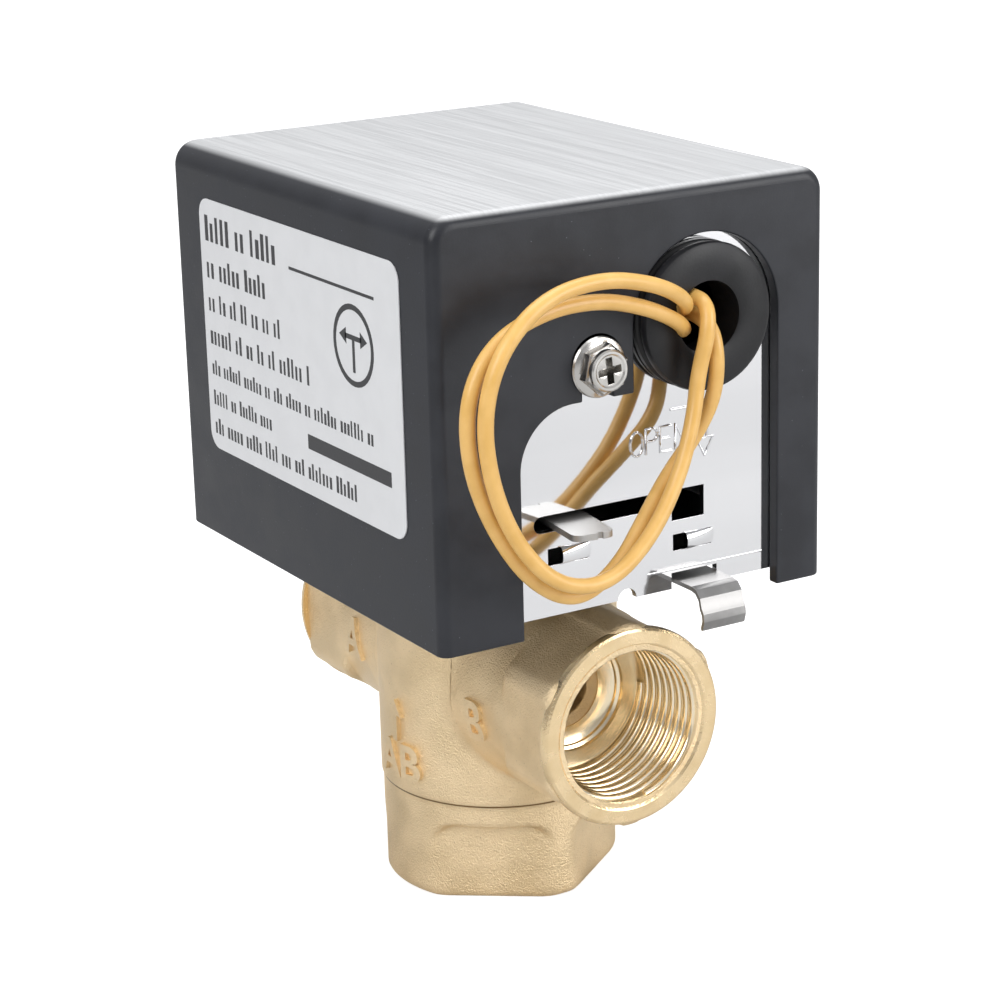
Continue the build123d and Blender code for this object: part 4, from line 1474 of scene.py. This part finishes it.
@dataclass
class CoverScrew:
    """The hexagon screw with a washer face that clamps the cover."""

    x: float = -7.0
    z: float = 96.5
    across_flats: float = 6.9
    turn: float = 18.0
    recess_turn: float = 6.0
    recess_long: float = 4.5
    recess_wide: float = 1.3
    recess_taper: float = 0.55

    def hexagon(self, y: float, grow: float) -> list[Vector]:
        """The six corners of the head at one depth.

        Args:
            y: The depth in mm.
            grow: How far the flats stand out past their size in mm.

        Returns:
            The corners in mm.
        """
        reach = (self.across_flats / 2 + grow) / math.cos(math.pi / 6)
        turns = [math.radians(self.turn + 60 * step) for step in range(6)]
        return [
            Vector((self.x + reach * math.cos(t), y, self.z + reach * math.sin(t))) for t in turns
        ]

    def cutter(self) -> bpy.types.Object:
        """The tapering cross that the recess is cut with.

        Returns:
            The cutter, which is removed after its use.
        """
        angle = math.radians(self.recess_turn)
        work = bmesh.new()
        arms = ((self.recess_long, self.recess_wide), (self.recess_wide, self.recess_long))
        for wide, tall in arms:
            for vert in bmesh.ops.create_cube(work, size=1.0)["verts"]:
                deep = vert.co.y > 0
                squeeze = self.recess_taper if deep else 1.0
                x = vert.co.x * wide * squeeze
                z = vert.co.z * tall * squeeze
                vert.co = Vector((
                    self.x + x * math.cos(angle) - z * math.sin(angle),
                    COVER_FACE_Y - 3.3 + (2.3 if deep else -0.6),
                    self.z + x * math.sin(angle) + z * math.cos(angle),
                )) * MM
        mesh = bpy.data.meshes.new("cross")
        work.to_mesh(mesh)
        work.free()
        return new_piece("cross_cutter", mesh, NICKEL)

    def head(self) -> bpy.types.Object:
        """The hexagon between its washer and its raised round rim.

        Returns:
            The piece, with no recess.
        """
        rim = [
            (0.0, 3.3), (2.35, 3.3), (2.6, 3.5), (2.95, 3.5), (3.2, 3.3), (3.28, 3.0),
            (3.28, 1.4), (0.0, 1.4),
        ]
        washer = [(0.0, -0.05), (4.7, -0.05), (4.7, 0.35), (4.5, 0.62), (3.7, 0.95), (0.0, 1.0)]
        place = Matrix.Translation((self.x, COVER_FACE_Y, self.z))
        place = place @ Matrix.Rotation(math.pi / 2, 4, "X")
        work = lathe(rim, 64, place)
        absorb(work, lathe(washer, 64, place))
        absorb(work, self.prism())
        return new_piece("cover_screw_head", mesh_of("cover_screw_head", work, sharp=28.0), NICKEL)

    def prism(self) -> bmesh.types.BMesh:
        """The six flats, with a slight chamfer at their front.

        Returns:
            The prism in metres.
        """
        work = bmesh.new()
        levels = [(0.5, 0.0), (2.4, 0.0), (2.75, -0.32)]
        rings = [
            [work.verts.new(corner * MM) for corner in self.hexagon(COVER_FACE_Y - y, grow)]
            for y, grow in levels
        ]
        for low, high in zip(rings, rings[1:]):
            for step in range(6):
                after = (step + 1) % 6
                work.faces.new((low[step], low[after], high[after], high[step]))
        work.faces.new(rings[0])
        work.faces.new(rings[-1])
        bmesh.ops.recalc_face_normals(work, faces=work.faces)
        return work

    def build(self) -> None:
        """Make the head and shank, and cut the cross recess."""
        piece = self.head()
        cutter = self.cutter()
        recess = piece.modifiers.new("recess", "BOOLEAN")
        recess.operation = "DIFFERENCE"
        recess.solver = "EXACT"
        recess.use_self = True
        recess.object = cutter
        applied(piece)
        bpy.data.objects.remove(cutter)
        soften = piece.modifiers.new("soft_edges", "BEVEL")
        soften.width = 0.1 * MM
        soften.segments = 2
        soften.limit_method = "ANGLE"
        soften.angle_limit = math.radians(40)
        applied(piece)
        shank = refined("cover_screw", NICKEL, bevel=0.05)
        keep_behind(shank, COVER_FACE_Y)
        settle(piece, Body.FIXED, Slot.NICKEL, "cover_screw")
        settle(shank, Body.FIXED, Slot.NICKEL)


def keep_behind(piece: bpy.types.Object, y: float) -> None:
    """Cut away the part of a piece that stands in front of an upright plane.

    Args:
        piece: The piece.
        y: Where the plane lies in mm.
    """
    work = bmesh.new()
    work.from_mesh(piece.data)
    cut = bmesh.ops.bisect_plane(
        work, geom=work.verts[:] + work.edges[:] + work.faces[:], dist=1e-7,
        plane_co=(0.0, y * MM, 0.0), plane_no=(0.0, -1.0, 0.0), clear_outer=True,
    )
    rim = [item for item in cut["geom_cut"] if isinstance(item, bmesh.types.BMEdge)]
    bmesh.ops.contextual_create(work, geom=rim)
    work.to_mesh(piece.data)
    work.free()


@dataclass
class CoverShell:
    """The cover with its label. Sizes are in mm."""

    label_x: float = -35.22
    ink: float = 0.03
    row_start: float = 31.0
    sign_y: float = -19.5
    sign_z: float = 99.2
    sign_r: float = 6.4
    sign_inner_r: float = 5.5
    rows: tuple[Point, ...] = (
        (107.2, 4.3, 27.0), (101.0, 3.6, 24.0), (95.4, 3.1, 27.0), (89.8, 3.1, 36.0),
        (84.6, 2.5, 57.0), (79.4, 2.5, 22.0), (74.4, 2.7, 50.0),
    )

    def oblong(self, y: float, z: float, width: float, height: float) -> list[Vector]:
        """The corners of one printed block, reading towards -Y.

        Args:
            y: Where it starts in mm.
            z: Its foot in mm.
            width: Its width in mm.
            height: Its height in mm.

        Returns:
            The corners in mm.
        """
        x = self.label_x - 0.02
        corners = ((0, 0), (1, 0), (1, 1), (0, 1))
        return [Vector((x, y - a * width, z + b * height)) for a, b in corners]

    def row(
        self, work: bmesh.types.BMesh, draw: Random, z: float, height: float, reach: float
    ) -> None:
        """Print one row of plain blocks, grouped as words are, that read as no text.

        Args:
            work: The mesh to print in.
            draw: The fixed source of variety.
            z: The row's foot in mm.
            height: The tallest block in mm.
            reach: The row's length in mm.
        """
        y = self.row_start
        end = self.row_start - reach
        width = height * 0.36
        while y - width > end:
            for _ in range(draw.randint(2, 7)):
                if y - width < end:
                    break
                tall = height * draw.choice((0.72, 0.72, 1.0))
                self.bar(work, self.oblong(y, z, width * draw.uniform(0.55, 0.8), tall))
                y -= width * 1.22
            y -= width * 1.1

    def sign(self, work: bmesh.types.BMesh) -> None:
        """Print a plain three-way flow sign inside a ring.

        Args:
            work: The mesh to print in.
        """
        x = self.label_x - 0.02
        y = self.sign_y
        z = self.sign_z
        for step in range(36):
            first = math.radians(10 * step)
            second = math.radians(10 * (step + 1))
            corners = [(self.sign_r, first), (self.sign_r, second),
                       (self.sign_inner_r, second), (self.sign_inner_r, first)]
            ring = [Vector((x, y + r * math.cos(t), z + r * math.sin(t))) for r, t in corners]
            self.bar(work, ring)
        self.bar(work, self.oblong(y + 0.4, z - 4.2, 0.8, 5.0))
        self.bar(work, self.oblong(y + 2.6, z + 0.8, 5.2, 0.8))
        for side in (-1, 1):
            tip = Vector((x, y + side * 4.4, z + 1.2))
            back = tip - Vector((0, side * 2.2, 0))
            self.bar(work, [tip, back + Vector((0, 0, 1.3)), back - Vector((0, 0, 1.3))])

    def legend(self) -> bpy.types.Object:
        """Rows of plain blocks, two rules and a flow sign.

        Returns:
            The piece.
        """
        draw = Random(11)
        work = bmesh.new()
        for z, height, reach in self.rows:
            self.row(work, draw, z, height, reach)
        self.bar(work, self.oblong(1.0, 107.4, 27.5, 0.5))
        self.bar(work, self.oblong(-3.0, 79.4, 27.0, 2.4))
        self.sign(work)
        bmesh.ops.recalc_face_normals(work, faces=work.faces)
        bmesh.ops.scale(work, vec=(MM, MM, MM), verts=work.verts)
        return new_piece("label_print", mesh_of("label_print", work), PRINT)

    def bar(self, work: bmesh.types.BMesh, corners: Sequence[Vector]) -> None:
        """Add one flat printed shape with a little thickness.

        Args:
            work: The mesh to print in.
            corners: The shape's corners in mm.
        """
        front = [work.verts.new(corner) for corner in corners]
        back = [work.verts.new(corner + Vector((self.ink, 0, 0))) for corner in corners]
        work.faces.new(front)
        work.faces.new(list(reversed(back)))
        count = len(corners)
        for index in range(count):
            after = (index + 1) % count
            work.faces.new((front[after], front[index], back[index], back[after]))

    def build(self) -> None:
        """Make the shell, the label and its print."""
        settle(refined("cover", ENAMEL, bevel=0.28, segments=3), Body.COVER, Slot.COVER, "cover")
        settle(refined("label", LABEL_FILM, bevel=0.05), Body.COVER, Slot.LABEL, "label")
        settle(self.legend(), Body.COVER, Slot.LABEL)


@dataclass
class Leads:
    """The two supply leads, which come out of the bush, loop and go back in."""

    diameter: float = 2.4

    def route(self, name: str, points: Sequence[Point]) -> bpy.types.Object:
        """One lead as a smooth round curve.

        Args:
            name: The piece's name.
            points: The route's control points in mm.

        Returns:
            The piece.
        """
        curve = bpy.data.curves.new(name, "CURVE")
        curve.dimensions = "3D"
        curve.bevel_depth = self.diameter * MM / 2
        curve.bevel_resolution = 5
        curve.resolution_u = 10
        curve.use_fill_caps = True
        spline = curve.splines.new("NURBS")
        spline.points.add(len(points) - 1)
        for control, point in zip(spline.points, points):
            control.co = (*(value * MM for value in point), 1.0)
        spline.order_u = 3
        spline.use_endpoint_u = True
        piece = bpy.data.objects.new(name, curve)
        bpy.context.scene.collection.objects.link(piece)
        curve.materials.append(dressed(LEAD_SLEEVE))
        return piece

    def build(self) -> None:
        """Lay both leads."""
        first = [
            (6.0, -12.0, 104.2), (6.0, -20.0, 104.2), (7.6, -28.5, 104.8),
            (9.4, -37.0, 105.2), (9.7, -43.6, 105.2), (9.6, -47.8, 104.7),
            (8.8, -49.4, 100.8), (7.4, -48.6, 94.3), (5.9, -49.5, 87.5),
            (2.3, -50.8, 79.5), (-4.1, -52.7, 71.7), (-12.4, -53.7, 66.2),
            (-21.5, -54.5, 67.9), (-27.7, -53.6, 74.8), (-31.8, -53.4, 84.5),
            (-33.0, -53.4, 95.2), (-29.9, -53.8, 104.6), (-21.6, -52.6, 110.7),
            (-10.8, -51.1, 111.7), (-1.6, -50.2, 109.6), (4.2, -49.2, 106.7),
            (7.1, -46.4, 104.0), (7.7, -41.3, 102.8), (7.6, -35.4, 102.4),
            (6.4, -29.0, 101.2), (4.6, -23.4, 99.2),
        ]
        second = [
            (10.0, -12.0, 104.2), (10.0, -20.0, 104.2), (10.4, -28.5, 103.0),
            (10.6, -37.0, 102.3), (10.8, -43.2, 102.0), (10.8, -47.4, 100.8),
            (10.8, -48.9, 96.2), (10.7, -48.2, 90.3), (8.4, -46.9, 84.6),
            (2.5, -47.5, 79.2), (-2.9, -49.3, 73.8), (-8.6, -50.5, 67.3),
            (-16.2, -50.8, 63.4), (-24.0, -50.9, 68.0), (-30.1, -50.9, 76.9),
            (-34.0, -51.0, 87.0), (-34.3, -51.1, 97.2), (-29.6, -50.7, 104.6),
            (-20.6, -50.1, 108.0), (-10.6, -49.2, 108.2), (-1.9, -48.2, 105.8),
            (4.2, -47.8, 102.8), (7.5, -45.4, 100.3), (8.1, -41.0, 99.8),
            (8.1, -35.2, 99.6), (7.6, -29.2, 98.5), (6.9, -24.2, 96.9),
        ]
        for number, points, length in ((1, first, 0.195), (2, second, 0.194)):
            node = f"lead_{number}"
            piece = self.route(f"{node}_sleeve", points)
            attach(piece, Body.FIXED.value)
            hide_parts(node)
            LOG.info("%s laid along %d points", piece.name, len(points))


@dataclass(frozen=True)
class Refinement:
    """How a CAD node is finished: its body, slot, finish and soft edge."""

    node: str
    body: Body
    slot: Slot
    finish: Finish
    bevel: float


class Mechanism:
    """The frame, gears, motor and fasteners inside the power head."""

    REFINED: ClassVar[tuple[Refinement, ...]] = (
        Refinement("manual_lever", Body.LEVER, Slot.STAINLESS, STAINLESS, 0.18),
        Refinement("latch_clip", Body.LATCH, Slot.SPRING, SPRING_STEEL, 0.14),
        Refinement("base_plate", Body.FIXED, Slot.SHEET, GALVANISED, 0.15),
        Refinement("motor_deck", Body.FIXED, Slot.SHEET, GALVANISED, 0.15),
        Refinement("deck_posts", Body.FIXED, Slot.TURNED_BRASS, BRASS_MACHINED, 0.12),
        Refinement("deck_screws", Body.FIXED, Slot.ZINC, ZINC, 0.2),
        Refinement("floor_screws", Body.FIXED, Slot.ZINC, ZINC, 0.2),
        Refinement("motor_screws", Body.FIXED, Slot.ZINC, ZINC, 0.2),
        Refinement("bonnet_screws", Body.FIXED, Slot.ZINC, ZINC, 0.2),
        Refinement("latch_studs", Body.FIXED, Slot.ZINC, ZINC, 0.1),
        Refinement("screw_nut", Body.FIXED, Slot.ZINC, ZINC, 0.12),
        Refinement("spring_post", Body.FIXED, Slot.ZINC, ZINC, 0.15),
        Refinement("bonnet", Body.FIXED, Slot.CAST_BRASS, BRASS_MACHINED, 0.2),
        Refinement("hub_bushing", Body.FIXED, Slot.BRONZE, BRONZE, 0.12),
        Refinement("motor_can", Body.FIXED, Slot.CAN, GALVANISED, 0.15),
        Refinement("lead_anchor", Body.FIXED, Slot.BOBBIN, BLACK_NYLON, 0.2),
    )
    PLAIN: ClassVar[dict[str, Finish]] = {
        "bonnet_seal": RUBBER, "stem_rings": RUBBER, "valve_ball": RUBBER, "stem": STAINLESS,
        "stem_clip": SPRING_STEEL, "ball_arm": STAINLESS, "drive_sleeve": SINTERED,
        "sector_gear": SINTERED, "return_spring": SPRING_STEEL, "lever_clip": SPRING_STEEL,
        "transfer_arbor": STAINLESS, "transfer_pinion": SINTERED, "transfer_wheel": ACETAL,
        "motor_pinion": BRASS_MACHINED, "motor_end_plate": GALVANISED, "motor_bearings": BRONZE,
        "coil_bobbin": BLACK_NYLON, "coil_winding": COPPER, "stator_cups": GALVANISED,
        "rotor_magnet": FERRITE, "rotor_hub": ACETAL, "motor_shaft": STAINLESS,
        "lead_1_tip": COPPER, "lead_2_tip": COPPER,
    }

    def slim_curl(self, mesh: bpy.types.Mesh, start: float = -44.0, share: float = 0.74) -> None:
        """Draw the latch's finger curl in towards the plate.

        Args:
            mesh: The latch's mesh, in metres.
            start: Where the strip begins to be drawn in, in mm.
            share: How much of its reach past there is kept.
        """
        for vert in mesh.vertices:
            past = vert.co.y / MM - start
            if past < 0:
                vert.co.y = (start + past * share) * MM

    def build(self) -> None:
        """Refine what shows, and dress the rest where it stands."""
        for item in self.REFINED:
            piece = refined(item.node, item.finish, item.bevel)
            if item.body is Body.LATCH:
                self.slim_curl(piece.data)
            settle(piece, item.body, item.slot, item.node)
        for node, finish in self.PLAIN.items():
            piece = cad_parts[node]
            piece.data.materials.clear()
            piece.data.materials.append(dressed(finish))
            LOG.info("%s dressed in %s", node, finish.name)


# ---- studio ---------------------------------------------------------------------------
@dataclass(frozen=True)
class Lamp:
    """One soft square light: where it stands and its side in metres, and its power in watts."""

    name: str
    place: Point
    size: float
    power: float


@dataclass
class Studio:
    """A pale floor, soft lights and the camera."""

    lamps: tuple[Lamp, ...] = (
        Lamp("key", (-0.75, -0.35, 0.60), 0.55, 4.7),
        Lamp("fill", (0.55, -0.75, 0.35), 0.55, 4.6),
        Lamp("top", (0.10, 0.15, 0.95), 0.8, 4.5),
    )
    aim: Point = (0.0, 0.0, 0.07)
    floor_half: float = 6.0
    floor_grey: float = 0.56
    camera_mm: Point = (-225.37, -381.15, 197.81)
    camera_turn: Point = (73.168, 1.433, -31.171)
    lens: float = 100.49
    floor_lift: float = 0.68
    horizon: Colour = (0.30, 0.30, 0.31)
    zenith: Colour = (0.85, 0.86, 0.88)

    def floor(self) -> None:
        """A wide pale floor under the bottom port, lifted to white where it is seen direct."""
        mesh = bpy.data.meshes.new("floor")
        half = self.floor_half
        corners = [(-half, -half, 0), (half, -half, 0), (half, half, 0), (-half, half, 0)]
        mesh.from_pydata(corners, [], [(0, 1, 2, 3)])
        floor = bpy.data.objects.new("floor", mesh)
        bpy.context.scene.collection.objects.link(floor)
        material = bpy.data.materials.new("pale_floor")
        material.use_nodes = True
        tree = material.node_tree
        shader = tree.nodes["Principled BSDF"]
        grey = self.floor_grey
        shader.inputs["Base Color"].default_value = (grey, grey, grey, 1.0)
        shader.inputs["Roughness"].default_value = 0.7
        shader.inputs["Emission Color"].default_value = (1.0, 1.0, 1.0, 1.0)
        path = tree.nodes.new("ShaderNodeLightPath")
        lift = tree.nodes.new("ShaderNodeMath")
        lift.operation = "MULTIPLY"
        lift.inputs[1].default_value = self.floor_lift
        tree.links.new(path.outputs["Is Camera Ray"], lift.inputs[0])
        tree.links.new(lift.outputs[0], shader.inputs["Emission Strength"])
        mesh.materials.append(material)

    def surroundings(self) -> None:
        """A studio that is brighter overhead, behind a white backdrop."""
        world = bpy.data.worlds.new("studio")
        world.use_nodes = True
        tree = world.node_tree
        background = tree.nodes["Background"]
        place = tree.nodes.new("ShaderNodeTexCoord")
        split = tree.nodes.new("ShaderNodeSeparateXYZ")
        ramp = tree.nodes.new("ShaderNodeValToRGB")
        path = tree.nodes.new("ShaderNodeLightPath")
        mix = tree.nodes.new("ShaderNodeMix")
        mix.data_type = "RGBA"
        ramp.color_ramp.elements[0].position = 0.0
        ramp.color_ramp.elements[0].color = (*self.horizon, 1.0)
        ramp.color_ramp.elements[1].position = 0.9
        ramp.color_ramp.elements[1].color = (*self.zenith, 1.0)
        tree.links.new(place.outputs["Generated"], split.inputs[0])
        tree.links.new(split.outputs["Z"], ramp.inputs["Fac"])
        tree.links.new(path.outputs["Is Camera Ray"], mix.inputs[0])
        tree.links.new(ramp.outputs["Color"], mix.inputs[6])
        mix.inputs[7].default_value = (1.0, 1.0, 1.0, 1.0)
        tree.links.new(mix.outputs[2], background.inputs["Color"])
        bpy.context.scene.world = world

    def light(self, lamp: Lamp) -> None:
        """Add one soft square light.

        Args:
            lamp: The light's place, size and power.
        """
        data = bpy.data.lights.new(lamp.name, "AREA")
        data.size = lamp.size
        data.energy = lamp.power
        holder = bpy.data.objects.new(lamp.name, data)
        holder.location = lamp.place
        facing = Vector(self.aim) - Vector(lamp.place)
        holder.rotation_euler = facing.to_track_quat("-Z", "Y").to_euler()
        bpy.context.scene.collection.objects.link(holder)

    def build(self) -> None:
        """Set the floor, the lights, the surroundings and the camera."""
        self.floor()
        for lamp in self.lamps:
            self.light(lamp)
        self.surroundings()
        bpy.context.scene.view_settings.view_transform = "Standard"
        data = bpy.data.cameras.new("camera")
        data.lens = self.lens
        data.sensor_width = 36.0
        data.clip_start = 0.01
        data.clip_end = 20.0
        camera = bpy.data.objects.new("camera", data)
        camera.location = tuple(value * MM for value in self.camera_mm)
        camera.rotation_euler = tuple(math.radians(value) for value in self.camera_turn)
        bpy.context.scene.collection.objects.link(camera)
        bpy.context.scene.camera = camera


def main() -> None:
    """Build every part of the valve in order."""
    logging.basicConfig(level=logging.INFO, format="%(message)s")
    Studio().build()
    Leads().build()
    ValveCasting().build()
    FrontPlate().build()
    Grommet().build()
    CoverScrew().build()
    CoverShell().build()
    Mechanism().build()


if __name__ == "__main__":
    main()
